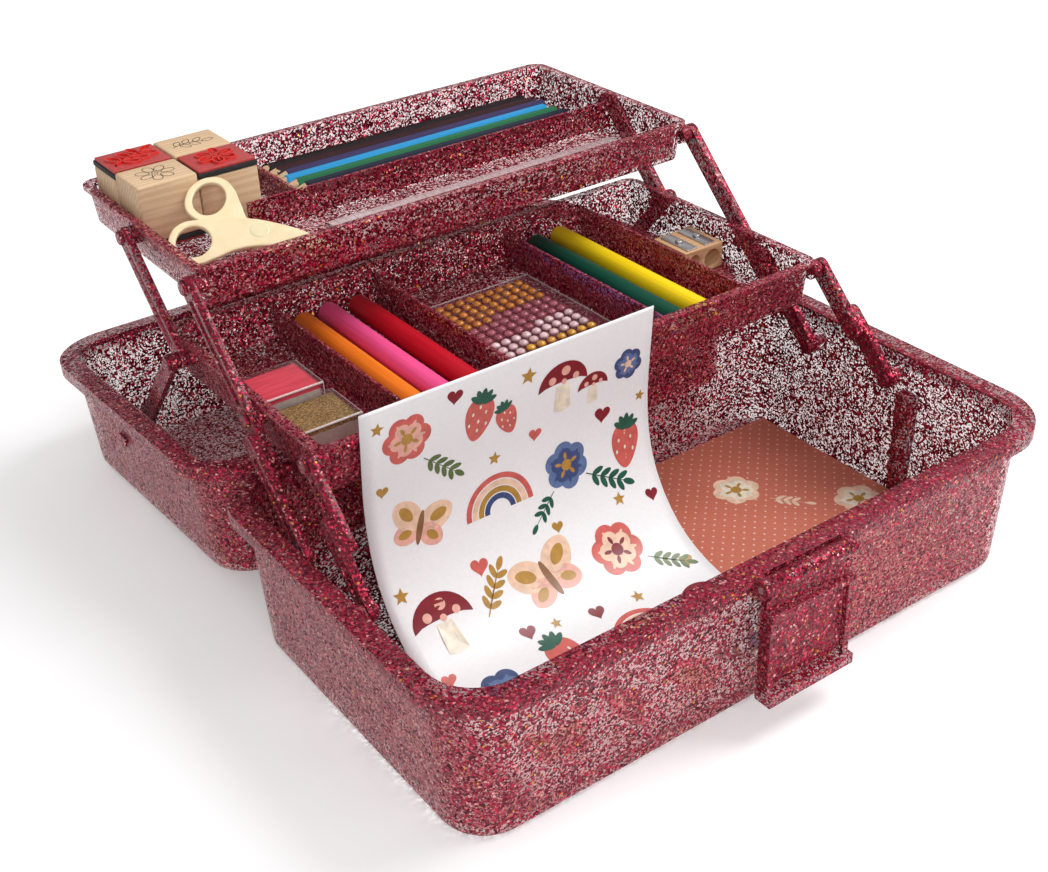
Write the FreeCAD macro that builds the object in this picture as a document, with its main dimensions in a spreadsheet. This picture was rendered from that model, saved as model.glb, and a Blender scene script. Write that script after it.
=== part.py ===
import FreeCAD
import Part
import Sketcher
import math
import os

from FreeCAD import Placement, Rotation, Vector

# Art supply box with two trays that fold up on arms as the lid opens.
# Millimetres. The origin is the middle of the underside of the base, X runs
# along the box, Y towards the hinge and Z up. The box is modelled open.

doc = FreeCAD.newDocument("ArtSupplyBox")
sheet = doc.addObject("Spreadsheet::Sheet", "Sizes")

SIZES = {
    # Tubs of the base and the lid
    "box_length": 330.0,
    "box_width": 196.0,
    "base_height": 77.0,
    "lid_height": 63.0,
    "rim_corner": 32.0,
    "flange_width": 7.0,
    "flange_thick": 3.0,
    "lip_height": 6.5,
    "lip_thick": 2.5,
    "tub_wall": 3.0,
    "tub_floor": 3.0,
    "tub_draft": 3.0,
    "base_round": 4.5,
    "lid_round": 6.0,
    "parting_gap": 0.3,
    "floor_gap": 0.2,
    # Hinge
    "hinge_setback": 1.0,
    "knuckle_radius": 3.5,
    "hinge_pin_radius": 1.5,
    "pin_clearance": 0.05,
    "hinge_spacing": 200.0,
    "base_knuckle": 24.0,
    "lid_knuckle": 12.0,
    "knuckle_gap": 0.4,
    # Trays
    "tray_room": 25.0,
    "upper_depth": 133.0,
    "upper_height": 21.0,
    "middle_depth": 145.0,
    "middle_height": 23.5,
    "tray_wall": 2.0,
    "tray_floor": 2.0,
    "tray_lip": 2.5,
    "tray_lip_thick": 2.0,
    "tray_corner": 8.0,
    "tray_draft": 6.0,
    "tray_round": 2.5,
    "divider_thick": 1.6,
    "divider_drop": 4.0,
    # Folding arms
    "arm_foot_y": 42.0,
    "arm_foot_z": 63.0,
    "arm_span": 63.5,
    "arm_angle": 44.7,
    "arm_width": 9.0,
    "arm_thick": 4.0,
    "arm_clearance": 0.5,
    "arm_groove": 0.8,
    "front_arm_ahead": 52.0,
    "front_arm_rise": 2.5,
    "rear_arm_behind": 67.0,
    "rear_arm_rise": 0.5,
    "long_arm_jog": 48.0,
    "front_arm_jog": 32.0,
    "jog_lap": 8.0,
    "pivot_drop": 7.5,
    "middle_front": 55.1,
    "upper_front": 4.3,
    # Lid link
    "link_thick": 3.0,
    "link_width": 8.0,
    "link_slot": 6.0,
    "link_slot_length": 22.0,
    "link_border": 3.0,
    "stud_y": 214.0,
    "stud_z": 42.0,
    # Rivets
    "rivet_radius": 2.4,
    "rivet_clearance": 0.1,
    "rivet_head": 3.8,
    "rivet_head_thick": 1.2,
    "boss_radius": 4.5,
    "seat_gap": 0.3,
    # Guide posts in the base
    "post_width": 10.0,
    "post_depth": 6.5,
    "post_ahead": 10.0,
    "post_gap": 2.0,
    # Latch
    "latch_width": 46.0,
    "latch_length": 56.0,
    "latch_thick": 3.5,
    "latch_pivot_out": 4.0,
    "latch_pivot_drop": 4.0,
    "latch_barrel": 4.0,
    "latch_rib": 3.0,
    "latch_bead": 3.5,
    "latch_lip": 5.5,
    "latch_lip_height": 5.0,
    "latch_side_gap": 0.4,
    "ear_thick": 4.0,
    # Supplies
    "stamp_length": 30.5,
    "stamp_depth": 26.0,
    "stamp_height": 32.0,
    "stamp_pad": 2.4,
    "stamp_rubber": 1.4,
    "thin_pencil": 3.4,
    "thin_pencil_room": 18.0,
    "thin_pencil_tip": 9.0,
    "thick_pencil": 5.5,
    "thick_pencil_length": 126.0,
    "thick_pencil_tip": 6.0,
    "ruler_room": 15.0,
    "ruler_width": 28.0,
    "ruler_thick": 2.2,
    "ink_case_length": 30.0,
    "ink_case_depth": 27.0,
    "ink_case_height": 13.0,
    "ink_case_wall": 1.2,
    "ink_gap": 0.2,
    "gem_pack_room": 5.0,
    "gem_pack_depth": 84.0,
    "gem_pack_thick": 1.6,
    "sharpener_length": 25.0,
    "sharpener_width": 25.0,
    "sharpener_height": 13.5,
    "sharpener_small": 3.6,
    "sharpener_large": 5.2,
    "blade_width": 7.0,
    "blade_thick": 0.6,
    "blade_screw": 1.9,
    "card_length": 210.0,
    "card_room": 48.0,
    "card_thick": 1.2,
    "sticker_width": 153.0,
    "sticker_length": 210.0,
    "sticker_thick": 0.5,
    "sticker_curl": 38.0,
    "loose_gap": 0.1,
    # Places of the supplies
    "upper_divider_y": -3.5,
    "scissors_thick": 2.6,
    "scissors_loop": 13.6,
    "scissors_hole": 8.8,
    "scissors_blade": 37.0,
    "scissors_handle": 25.5,
    "scissors_spread": 13.6,
    "scissors_width": 7.5,
    "scissors_button": 4.8,
    "scissors_from_side": 41.0,
    "scissors_ahead": 31.0,
    "scissors_lift": 11.2,
}

for row, (alias, number) in enumerate(SIZES.items(), start=1):
    sheet.set(f"A{row}", alias.replace("_", " "))
    sheet.set(f"B{row}", str(number))
    sheet.setAlias(f"B{row}", alias)
doc.recompute()


class Size:
    """A number together with the sheet expression that gives it."""

    def __init__(self, number, text):
        self.number = float(number)
        self.text = text

    def __add__(self, other):
        other = as_size(other)
        return Size(self.number + other.number, f"({self.text} + {other.text})")

    def __sub__(self, other):
        other = as_size(other)
        return Size(self.number - other.number, f"({self.text} - {other.text})")

    def __mul__(self, other):
        other = as_size(other)
        return Size(self.number * other.number, f"({self.text} * {other.text})")

    def __truediv__(self, other):
        other = as_size(other)
        return Size(self.number / other.number, f"({self.text} / {other.text})")

    def __neg__(self):
        return Size(-self.number, f"(-{self.text})")

    def __radd__(self, other):
        return as_size(other) + self

    def __rsub__(self, other):
        return as_size(other) - self


def as_size(value):
    """Give a plain number the form of a Size."""
    if isinstance(value, Size):
        return value
    return Size(value, f"{float(value):.6f}")


def size(alias):
    return Size(sheet.get(alias), f"Sizes.{alias}")


def num(alias):
    return float(sheet.get(alias))


def slope(alias):
    """How far a drafted wall leans for each millimetre of height."""
    return Size(math.tan(math.radians(num(alias))), f"tan(Sizes.{alias} * 1 deg)")


def bind(feature, name, value):
    """Set one property of a feature by its sheet expression."""
    feature.setExpression(name, as_size(value).text)


def new_body(label):
    body = doc.addObject("PartDesign::Body", label)
    body.Label = label
    return body


def plane(body, role):
    return next(f for f in body.Origin.OriginFeatures if f.Role == role)


def new_sketch(body, role, offset=None):
    """A sketch on an origin plane of the body, moved along the plane's normal."""
    made = body.newObject("Sketcher::SketchObject", f"{body.Name}_sketch")
    made.AttachmentSupport = [(plane(body, role), "")]
    made.MapMode = "FlatFace"
    if offset is not None:
        bind(made, "AttachmentOffset.Base.z", offset)
    return made


def hold(made, geometry, point, across, up):
    """Hold a sketch point at two bound distances from the sketch's origin."""
    for kind, axis, value in (("DistanceX", -2, across), ("DistanceY", -1, up)):
        value = as_size(value)
        if abs(value.number) < 1e-9:
            made.addConstraint(Sketcher.Constraint("PointOnObject", geometry, point, axis))
            continue
        place = made.addConstraint(
            Sketcher.Constraint(kind, -1, 1, geometry, point, value.number))
        made.setExpression(f"Constraints[{place}]", value.text)


def hold_radius(made, geometry, radius):
    place = made.addConstraint(Sketcher.Constraint("Radius", geometry, radius.number))
    made.setExpression(f"Constraints[{place}]", radius.text)


def arc(x, y, radius, start, end):
    circle = Part.Circle(Vector(x, y, 0), Vector(0, 0, 1), radius)
    return Part.ArcOfCircle(circle, math.radians(start), math.radians(end))


def line(x0, y0, x1, y1):
    return Part.LineSegment(Vector(x0, y0, 0), Vector(x1, y1, 0))


def draw_rounded_rectangle(made, length, width, corner, centre_y=0.0):
    """A rectangle with round corners about the sketch's Y axis."""
    centre_y = as_size(centre_y)
    length, width, corner = as_size(length), as_size(width), as_size(corner)
    a, b, r, c = length.number / 2, width.number / 2, corner.number, centre_y.number
    first = made.GeometryCount
    made.addGeometry([
        line(r - a, c - b, a - r, c - b), arc(a - r, c - b + r, r, -90, 0),
        line(a, c - b + r, a, c + b - r), arc(a - r, c + b - r, r, 0, 90),
        line(a - r, c + b, r - a, c + b), arc(r - a, c + b - r, r, 90, 180),
        line(-a, c + b - r, -a, c - b + r), arc(r - a, c - b + r, r, 180, 270)])
    for k in range(8):
        made.addConstraint(
            Sketcher.Constraint("Tangent", first + k, 2, first + (k + 1) % 8, 1))
    for k, kind in ((0, "Horizontal"), (4, "Horizontal"), (2, "Vertical"), (6, "Vertical")):
        made.addConstraint(Sketcher.Constraint(kind, first + k))
    for k in (3, 5, 7):
        made.addConstraint(Sketcher.Constraint("Equal", first + 1, first + k))
    hold_radius(made, first + 1, corner)
    for k, kind, value in ((2, "DistanceX", length / 2), (6, "DistanceX", -(length / 2)),
                           (0, "DistanceY", centre_y - width / 2),
                           (4, "DistanceY", centre_y + width / 2)):
        place = made.addConstraint(
            Sketcher.Constraint(kind, -1, 1, first + k, 1, value.number))
        made.setExpression(f"Constraints[{place}]", value.text)


def draw_slot(made, x0, x1, y, radius):
    """A straight slot with round ends, from one end centre to the other."""
    x0, x1, y, radius = as_size(x0), as_size(x1), as_size(y), as_size(radius)
    a, b, c, r = x0.number, x1.number, y.number, radius.number
    first = made.GeometryCount
    made.addGeometry([line(a, c - r, b, c - r), arc(b, c, r, -90, 90),
                      line(b, c + r, a, c + r), arc(a, c, r, 90, 270)])
    for k in range(4):
        made.addConstraint(
            Sketcher.Constraint("Tangent", first + k, 2, first + (k + 1) % 4, 1))
    made.addConstraint(Sketcher.Constraint("Equal", first + 1, first + 3))
    hold_radius(made, first + 1, radius)
    hold(made, first + 3, 3, x0, y)
    hold(made, first + 1, 3, x1, y)


def draw_circle(made, x, y, radius):
    x, y, radius = as_size(x), as_size(y), as_size(radius)
    middle = Vector(x.number, y.number, 0)
    place = made.addGeometry(Part.Circle(middle, Vector(0, 0, 1), radius.number))
    hold_radius(made, place, radius)
    hold(made, place, 3, x, y)


def draw_polygon(made, points):
    """A closed outline of straight lines through bound corners."""
    points = [(as_size(x), as_size(y)) for x, y in points]
    first = made.GeometryCount
    count = len(points)
    for k, (x, y) in enumerate(points):
        far_x, far_y = points[(k + 1) % count]
        made.addGeometry(line(x.number, y.number, far_x.number, far_y.number))
    for k, (x, y) in enumerate(points):
        made.addConstraint(
            Sketcher.Constraint("Coincident", first + k, 2, first + (k + 1) % count, 1))
        hold(made, first + k, 1, x, y)


def draw_rectangle(made, x0, y0, x1, y1):
    draw_polygon(made, [(x0, y0), (x1, y0), (x1, y1), (x0, y1)])


def pad(body, profile, length, taper=None, back=False):
    made = body.newObject("PartDesign::Pad", f"{body.Name}_pad")
    made.Profile = profile
    bind(made, "Length", length)
    made.Reversed = back
    if taper is not None:
        bind(made, "TaperAngle", taper)
    return made


def pocket(body, profile, length, taper=None, back=False):
    made = body.newObject("PartDesign::Pocket", f"{body.Name}_pocket")
    made.Profile = profile
    bind(made, "Length", length)
    made.Reversed = back
    if taper is not None:
        bind(made, "TaperAngle", taper)
    return made


def mirror_across(body, features):
    """Repeat features of the right half of a body on its left half."""
    made = body.newObject("PartDesign::Mirrored", f"{body.Name}_mirrored")
    made.Originals = features
    made.MirrorPlane = (plane(body, "YZ_Plane"), [""])
    body.Tip = made
    return made


def edges_at(feature, level):
    """Names of the edges that lie flat at one height of a feature."""
    names = []
    for k, edge in enumerate(feature.Shape.Edges, start=1):
        box = edge.BoundBox
        if abs(box.ZMin - level) < 1e-4 and abs(box.ZMax - level) < 1e-4:
            names.append(f"Edge{k}")
    return names


def round_edges(body, feature, level, radius):
    """Round the edges of the body's tip that lie at one height."""
    doc.recompute()
    made = body.newObject("PartDesign::Fillet", f"{body.Name}_fillet")
    made.Base = (feature, edges_at(feature, level))
    bind(made, "Radius", radius)
    doc.recompute()
    return made


def make_tub(body, rim, centre_y, length, width, corner, height, draft, wall, floor,
             edge_round, opens_up):
    """A drafted tub with rounded far edges, open at its rim level."""
    away = -1.0 if opens_up else 1.0
    outer = new_sketch(body, "XY_Plane", rim)
    draw_rounded_rectangle(outer, length, width, corner, centre_y)
    shell = pad(body, outer, height, taper=-draft, back=opens_up)
    far = (rim + height * away).number
    shell = round_edges(body, shell, far, edge_round)
    inner = new_sketch(body, "XY_Plane", rim)
    draw_rounded_rectangle(inner, length - wall * 2, width - wall * 2, corner - wall, centre_y)
    depth = height - floor
    hollow = pocket(body, inner, depth, taper=-draft, back=not opens_up)
    inside = (rim + depth * away).number
    return round_edges(body, hollow, inside, edge_round - wall)


def add_rim_ring(body, rim, centre_y, length, width, corner, breadth, thick, down):
    """A flat ring of the given breadth inside an outline at the rim level."""
    ring = new_sketch(body, "XY_Plane", rim)
    draw_rounded_rectangle(ring, length, width, corner, centre_y)
    draw_rounded_rectangle(ring, length - breadth * 2, width - breadth * 2,
                           corner - breadth, centre_y)
    return pad(body, ring, thick, back=down)


# Places that several pieces share, worked out from the sheet
arm_angle = math.radians(num("arm_angle"))
arm_reach = Vector(0, math.cos(arm_angle), math.sin(arm_angle)) * num("arm_span")
long_foot = Vector(0, num("arm_foot_y"), num("arm_foot_z"))
long_knee = long_foot + arm_reach
long_head = long_knee + arm_reach
front_foot = long_foot + Vector(0, -num("front_arm_ahead"), num("front_arm_rise"))
rear_foot = long_knee + Vector(0, num("rear_arm_behind"), num("rear_arm_rise"))
hinge = Vector(0, num("box_width") / 2 + num("hinge_setback"),
               num("base_height") + num("parting_gap") / 2)

wall_length = size("box_length") - size("flange_width") * 2
wall_width = size("box_width") - size("flange_width") * 2
wall_corner = size("rim_corner") - size("flange_width")
rim_breadth = size("flange_width") + size("tub_wall")
inner_half = wall_length / 2 - size("tub_wall")

# Lengths of the trays, and the dividers at shares of them
middle_length = size("box_length") - size("tray_room") * 2
upper_length = middle_length - size("arm_clearance") * 2
middle_dividers = [middle_length * share for share in (-0.314, -0.111, 0.171, 0.352)]
upper_divider_start = upper_length * -0.301
upper_divider_short = upper_length * -0.206

# The arms lie in two layers outside the trays, on each side of the box
layer_start = middle_length / 2 + size("arm_clearance")
layer_middle = layer_start + size("arm_thick")
layer_end = layer_middle + size("arm_thick")
link_layer = layer_middle + size("seat_gap") + size("rivet_head_thick") + size("seat_gap")
link_end = link_layer + size("link_thick")

# The lid falls open until its far edge is just above the table
lid_wall_lean = num("lid_height") * math.tan(math.radians(num("tub_draft")))
edge_out = (num("box_width") / 2 + hinge.y - num("flange_width") - lid_wall_lean
            - num("lid_round"))
edge_up = num("parting_gap") / 2 + num("lid_height") - num("lid_round")
edge_drop = hinge.z - num("lid_round") - num("floor_gap")
lid_tilt = math.asin(edge_drop / math.hypot(edge_out, edge_up)) - math.atan2(edge_up, edge_out)
lid_turn = Rotation(Vector(1, 0, 0), -180 - math.degrees(lid_tilt))
lid_place = Placement(hinge, lid_turn)
stud = lid_place.inverse().multVec(Vector(0, num("stud_y"), num("stud_z")))


def make_base():
    """The deep tub: flange with a turned-down lip, posts, bosses, knuckles and latch ears."""
    body = new_body("base_tub")
    rim = size("base_height")
    make_tub(body, rim, 0.0, wall_length, wall_width, wall_corner, rim, size("tub_draft"),
             size("tub_wall"), size("tub_floor"), size("base_round"), True)
    add_rim_ring(body, rim, 0.0, size("box_length"), size("box_width"), size("rim_corner"),
                 rim_breadth, size("flange_thick"), True)
    add_rim_ring(body, rim, 0.0, size("box_length"), size("box_width"), size("rim_corner"),
                 size("lip_thick"), size("lip_height"), True)
    right = []

    # Bosses that space the arms off the wall, with blind rivet holes
    boss_start = layer_end + size("seat_gap")
    boss_length = inner_half + size("tub_wall") / 2 - boss_start
    for foot_y, foot_z in (
            (size("arm_foot_y"), size("arm_foot_z")),
            (size("arm_foot_y") - size("front_arm_ahead"),
             size("arm_foot_z") + size("front_arm_rise"))):
        boss = new_sketch(body, "YZ_Plane", boss_start)
        draw_circle(boss, foot_y, foot_z, size("boss_radius"))
        right.append(pad(body, boss, boss_length))
        hole = new_sketch(body, "YZ_Plane", boss_start)
        draw_circle(hole, foot_y, foot_z, size("rivet_radius") + size("pin_clearance"))
        right.append(pocket(body, hole, boss_length, back=True))

    # A post on the wall below each front arm
    post_y = size("arm_foot_y") - size("front_arm_ahead") - size("post_ahead")
    post_low = size("tub_floor") / 2
    post_top = size("arm_foot_z") + size("front_arm_rise") - size("boss_radius") - size("post_gap")
    mid_wall = inner_half + size("tub_wall") / 2
    post = new_sketch(body, "XZ_Plane", -(post_y + size("post_width") / 2))
    draw_polygon(post, [
        (inner_half - size("post_depth"), post_low),
        (mid_wall - (rim - post_low) * slope("tub_draft"), post_low),
        (mid_wall - (rim - post_top) * slope("tub_draft"), post_top),
        (inner_half - size("post_depth"), post_top)])
    right.append(pad(body, post, size("post_width")))

    # Hinge knuckle, with room for the knuckles of the lid on both sides
    axis_y = size("box_width") / 2 + size("hinge_setback")
    axis_z = size("base_height") + size("parting_gap") / 2
    start = size("hinge_spacing") / 2 - size("base_knuckle") / 2
    notch_y = axis_y - size("knuckle_radius") - size("knuckle_gap")
    side = size("lid_knuckle") + size("knuckle_gap") * 2
    for notch_x in (start - side, start + size("base_knuckle")):
        notch = new_sketch(body, "XY_Plane", size("base_height"))
        draw_rectangle(notch, notch_x, notch_y, notch_x + side, axis_y)
        right.append(pocket(body, notch, size("lip_height")))
    knuckle = new_sketch(body, "YZ_Plane", start)
    draw_circle(knuckle, axis_y, axis_z, size("knuckle_radius"))
    right.append(pad(body, knuckle, size("base_knuckle")))
    bore = new_sketch(body, "YZ_Plane", start)
    draw_circle(bore, axis_y, axis_z, size("hinge_pin_radius") + size("pin_clearance"))
    right.append(pocket(body, bore, size("base_knuckle"), back=True))

    # Ears that carry the latch on the front flange
    ear_y = -(size("box_width") / 2 + size("latch_pivot_out"))
    ear_z = size("base_height") - size("latch_pivot_drop")
    ear_x = size("latch_width") / 2 - size("ear_thick") / 2
    ear = new_sketch(body, "YZ_Plane", ear_x)
    draw_slot(ear, ear_y, ear_y + size("latch_pivot_out") + size("lip_thick"), ear_z,
              size("latch_barrel"))
    right.append(pad(body, ear, size("ear_thick")))
    eye = new_sketch(body, "YZ_Plane", ear_x)
    draw_circle(eye, ear_y, ear_z, size("hinge_pin_radius") + size("pin_clearance"))
    right.append(pocket(body, eye, size("ear_thick"), back=True))

    mirror_across(body, right)
    return body


def make_lid():
    """The lid, drawn closed about the hinge axis and then turned open."""
    body = new_body("lid_shell")
    rim = size("parting_gap") / 2
    centre = -(size("box_width") / 2 + size("hinge_setback"))
    make_tub(body, rim, centre, wall_length, wall_width, wall_corner, size("lid_height"),
             size("tub_draft"), size("tub_wall"), size("tub_floor"), size("lid_round"), False)
    add_rim_ring(body, rim, centre, size("box_length"), size("box_width"), size("rim_corner"),
                 rim_breadth, size("flange_thick"), False)
    add_rim_ring(body, rim, centre, size("box_length"), size("box_width"), size("rim_corner"),
                 size("lip_thick"), size("lip_height"), False)
    right = []

    # Bosses that carry the studs of the lid links
    boss_start = link_end + size("arm_clearance")
    boss_length = inner_half + size("tub_wall") / 2 - boss_start
    boss = new_sketch(body, "YZ_Plane", boss_start)
    draw_circle(boss, stud.y, stud.z, size("boss_radius"))
    right.append(pad(body, boss, boss_length))
    hole = new_sketch(body, "YZ_Plane", boss_start)
    draw_circle(hole, stud.y, stud.z, size("rivet_radius") + size("pin_clearance"))
    right.append(pocket(body, hole, boss_length + size("tub_wall") * 2, back=True))

    # Knuckles at both ends of each knuckle of the base
    start = size("hinge_spacing") / 2 - size("base_knuckle") / 2
    room = size("knuckle_radius") + size("knuckle_gap")
    notch = new_sketch(body, "XY_Plane", rim)
    draw_rectangle(notch, start - size("knuckle_gap"), -room,
                   start + size("base_knuckle") + size("knuckle_gap"), 0.0)
    right.append(pocket(body, notch, size("lip_height"), back=True))
    for knuckle_x in (start - size("knuckle_gap") - size("lid_knuckle"),
                      start + size("base_knuckle") + size("knuckle_gap")):
        knuckle = new_sketch(body, "YZ_Plane", knuckle_x)
        draw_circle(knuckle, 0.0, 0.0, size("knuckle_radius"))
        right.append(pad(body, knuckle, size("lid_knuckle")))
        bore = new_sketch(body, "YZ_Plane", knuckle_x)
        draw_circle(bore, 0.0, 0.0, size("hinge_pin_radius") + size("pin_clearance"))
        right.append(pocket(body, bore, size("lid_knuckle"), back=True))

    mirror_across(body, right)
    body.Placement = lid_place
    return body


def tray_inside(length, depth, height):
    """Half length, half depth and level of a tray's inner floor, about its rim centre."""
    edge = size("tray_lip") + size("tray_wall")
    lean = (height - size("tray_floor")) * slope("tray_draft")
    return length / 2 - edge - lean, depth / 2 - edge - lean, size("tray_floor") - height


def make_tray(label, length, depth, height, pivots, across, along, place):
    """A shallow tray, drawn about its rim centre, with dividers and rivet bosses.

    Each divider across the tray is its X and the Y it starts from, and each one
    along it is its Y and the X it starts from. None starts at the wall.
    """
    body = new_body(label)
    rim = Size(0.0, "0")
    edge = size("tray_lip")
    make_tub(body, rim, 0.0, length - edge * 2, depth - edge * 2, size("tray_corner") - edge,
             height, size("tray_draft"), size("tray_wall"), size("tray_floor"),
             size("tray_round"), True)
    add_rim_ring(body, rim, 0.0, length, depth, size("tray_corner"), edge + size("tray_wall"),
                 size("tray_lip_thick"), True)

    # Dividers stand on the floor and end inside the leaning walls
    top = size("divider_drop")
    low = height - size("tray_floor") / 2
    thick = size("divider_thick")
    inset = edge + size("tray_wall") / 2
    for role, half, dividers in (("YZ_Plane", depth / 2, across), ("XZ_Plane", length / 2, along)):
        for at, start in dividers:
            begin = at - thick / 2 if role == "YZ_Plane" else -(at + thick / 2)
            divider = new_sketch(body, role, begin)
            far_top = half - inset - top * slope("tray_draft")
            far_low = half - inset - low * slope("tray_draft")
            near_top = -far_top if start is None else start
            near_low = -far_low if start is None else start
            draw_polygon(divider, [(near_low, -low), (far_low, -low), (far_top, -top),
                                   (near_top, -top)])
            pad(body, divider, thick)

    # Bosses that the arms turn on, with blind rivet holes
    right = []
    boss_end = layer_start - size("seat_gap")
    boss_start = length / 2 - edge - size("tray_wall") - size("pivot_drop") * slope("tray_draft") * 0.5
    for pivot_y, pivot_z in pivots:
        boss = new_sketch(body, "YZ_Plane", boss_start)
        draw_circle(boss, pivot_y, pivot_z, size("boss_radius"))
        right.append(pad(body, boss, boss_end - boss_start))
        hole = new_sketch(body, "YZ_Plane", boss_end)
        draw_circle(hole, pivot_y, pivot_z, size("rivet_radius") + size("pin_clearance"))
        right.append(pocket(body, hole, boss_end - boss_start))
    mirror_across(body, right)
    body.Placement = place
    return body


def make_arm(label, side, foot, reach, jog, pivots):
    """A folding arm, drawn along X from its foot and then stood at its open angle.

    The foot end lies in the outer layer and the rest in the inner layer, where
    the trays are. An arm with no jog lies in the inner layer only.
    """
    body = new_body(label)
    thick = size("arm_thick")
    radius = size("arm_width") / 2
    lap = size("jog_lap") / 2
    rim = size("arm_width") / 4
    inner_start = as_size(0.0) if jog is None else jog - lap
    inner = new_sketch(body, "XY_Plane")
    draw_slot(inner, inner_start, reach, 0.0, radius)
    pad(body, inner, thick)
    if jog is not None:
        outer = new_sketch(body, "XY_Plane", thick)
        draw_slot(outer, 0.0, jog + lap, 0.0, radius)
        pad(body, outer, thick)
    doc.recompute()

    # Shallow grooves leave a raised edge round the outward faces
    grooves = [(size("arm_span") - reach + size("arm_width"), reach - size("arm_width"), thick)]
    if jog is not None:
        grooves = [(size("arm_width"), jog - lap, thick * 2),
                   (jog + lap + size("arm_width"), size("arm_span") - size("arm_width"), thick),
                   (size("arm_span") + size("arm_width"), reach - size("arm_width"), thick)]
    for start, end, level in grooves:
        if end.number - start.number < num("arm_width"):
            continue
        groove = new_sketch(body, "XY_Plane", level)
        draw_slot(groove, start, end, 0.0, rim)
        pocket(body, groove, size("arm_groove"))

    for pivot in pivots:
        hole = new_sketch(body, "XY_Plane")
        draw_circle(hole, pivot, 0.0, size("rivet_radius") + size("rivet_clearance"))
        pocket(body, hole, thick * 2, back=True)
    body.Placement = side_place(side, foot, arm_angle, layer_start.number)
    return body


def side_place(side, foot, angle, layer):
    """Stand a flat piece at a pivot beside the trays, with its back to the middle."""
    along = Vector(0, math.cos(angle), math.sin(angle))
    out = Vector(side, 0, 0)
    turn = Rotation(along, out.cross(along), out, "XZY")
    return Placement(Vector(side * layer, foot.y, foot.z), turn)


def make_lid_link(label, side):
    """The slotted link that the lid pulls the middle tray with."""
    body = new_body(label)
    span = Vector(0, num("stud_y"), num("stud_z")) - rear_foot
    reach = as_size(span.Length)
    slot_start = reach - size("link_slot_length")
    strip = new_sketch(body, "XY_Plane")
    draw_slot(strip, 0.0, slot_start, 0.0, size("link_width") / 2)
    pad(body, strip, size("link_thick"))
    frame = new_sketch(body, "XY_Plane")
    draw_slot(frame, slot_start, reach, 0.0, size("link_slot") / 2 + size("link_border"))
    pad(body, frame, size("link_thick"))
    window = new_sketch(body, "XY_Plane")
    draw_slot(window, slot_start, reach, 0.0, size("link_slot") / 2)
    pocket(body, window, size("link_thick"), back=True)
    hole = new_sketch(body, "XY_Plane")
    draw_circle(hole, 0.0, 0.0, size("rivet_radius") + size("rivet_clearance"))
    pocket(body, hole, size("link_thick"), back=True)
    level = link_layer.number
    body.Placement = side_place(side, rear_foot, math.atan2(span.z, span.y), level)
    return body


ALONG_X = Rotation(Vector(0, 1, 0), 90)
AGAINST_X = Rotation(Vector(0, 1, 0), -90)
AGAINST_Y = Rotation(Vector(1, 0, 0), 90)
UPRIGHT = Rotation()


def cylinder(name, radius, height, place, turn):
    made = doc.addObject("Part::Cylinder", name)
    bind(made, "Radius", radius)
    bind(made, "Height", height)
    made.Placement = Placement(place, turn)
    return made


def cone(name, wide, narrow, height, place, turn):
    made = doc.addObject("Part::Cone", name)
    bind(made, "Radius1", wide)
    bind(made, "Radius2", narrow)
    bind(made, "Height", height)
    made.Placement = Placement(place, turn)
    return made


def block(name, length, width, height, place):
    """A box that stands with the middle of its underside at the given place."""
    made = doc.addObject("Part::Box", name)
    bind(made, "Length", length)
    bind(made, "Width", width)
    bind(made, "Height", height)
    corner = Vector(as_size(length).number / 2, as_size(width).number / 2, 0)
    made.Placement = Placement(place - corner, UPRIGHT)
    return made


def fuse(label, pieces):
    made = doc.addObject("Part::MultiFuse", label)
    made.Label = label
    made.Shapes = pieces
    return made


def group(label, pieces):
    """Several loose solids that share one node."""
    made = doc.addObject("Part::Compound", label)
    made.Label = label
    made.Links = pieces
    return made


def make_rivet(name, side, pivot, seat, end, head_at_seat, collar=None):
    """A snap rivet from one X to another, its bevelled head at the inner or outer end.

    A collar, given as its two X, keeps two pieces on the rivet apart.
    """
    head = size("rivet_head_thick")
    out = ALONG_X if side > 0 else AGAINST_X
    back = AGAINST_X if side > 0 else ALONG_X
    shank = cylinder(f"{name}_shank", size("rivet_radius"), end - seat,
                     Vector(side * seat.number, pivot.y, pivot.z), out)
    face, turn = (seat, back) if head_at_seat else (end, out)
    cap = cone(f"{name}_head", size("rivet_head"), size("rivet_head") * 0.8, head,
               Vector(side * face.number, pivot.y, pivot.z), turn)
    pieces = [shank, cap]
    if collar is not None:
        near, far = collar
        pieces.append(cylinder(f"{name}_collar", size("rivet_head"), far - near,
                               Vector(side * near.number, pivot.y, pivot.z), out))
    return fuse(name, pieces)


def make_rivets():
    """One node of rivets for the base and one for each tray."""
    sides = (("left", -1), ("right", 1))
    gap = size("seat_gap")
    wall_end = inner_half
    made = []
    for name, side in sides:
        for where, pivot in (("long", long_foot), ("front", front_foot)):
            made.append(make_rivet(f"base_rivet_{where}_{name}", side, pivot,
                                   layer_middle - gap, wall_end - gap, True))
    nodes = [group("base_rivets", made)]
    tray_seat = layer_start - gap - size("tray_wall") * 2
    for tray, pivots in (
            ("middle", (("front", front_foot + arm_reach, layer_middle + gap),
                        ("knee", long_knee, layer_middle + gap),
                        ("rear", rear_foot, link_end + gap))),
            ("upper", (("head", long_head, layer_middle + gap),
                       ("rear", rear_foot + arm_reach, layer_middle + gap)))):
        made = []
        for name, side in sides:
            for where, pivot, head_seat in pivots:
                spaced = head_seat.number > layer_end.number
                collar = (layer_middle + gap, link_layer - gap) if spaced else None
                made.append(make_rivet(f"{tray}_rivet_{where}_{name}", side, pivot, tray_seat,
                                       head_seat, False, collar))
        nodes.append(group(f"{tray}_rivets", made))
    return nodes


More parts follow.
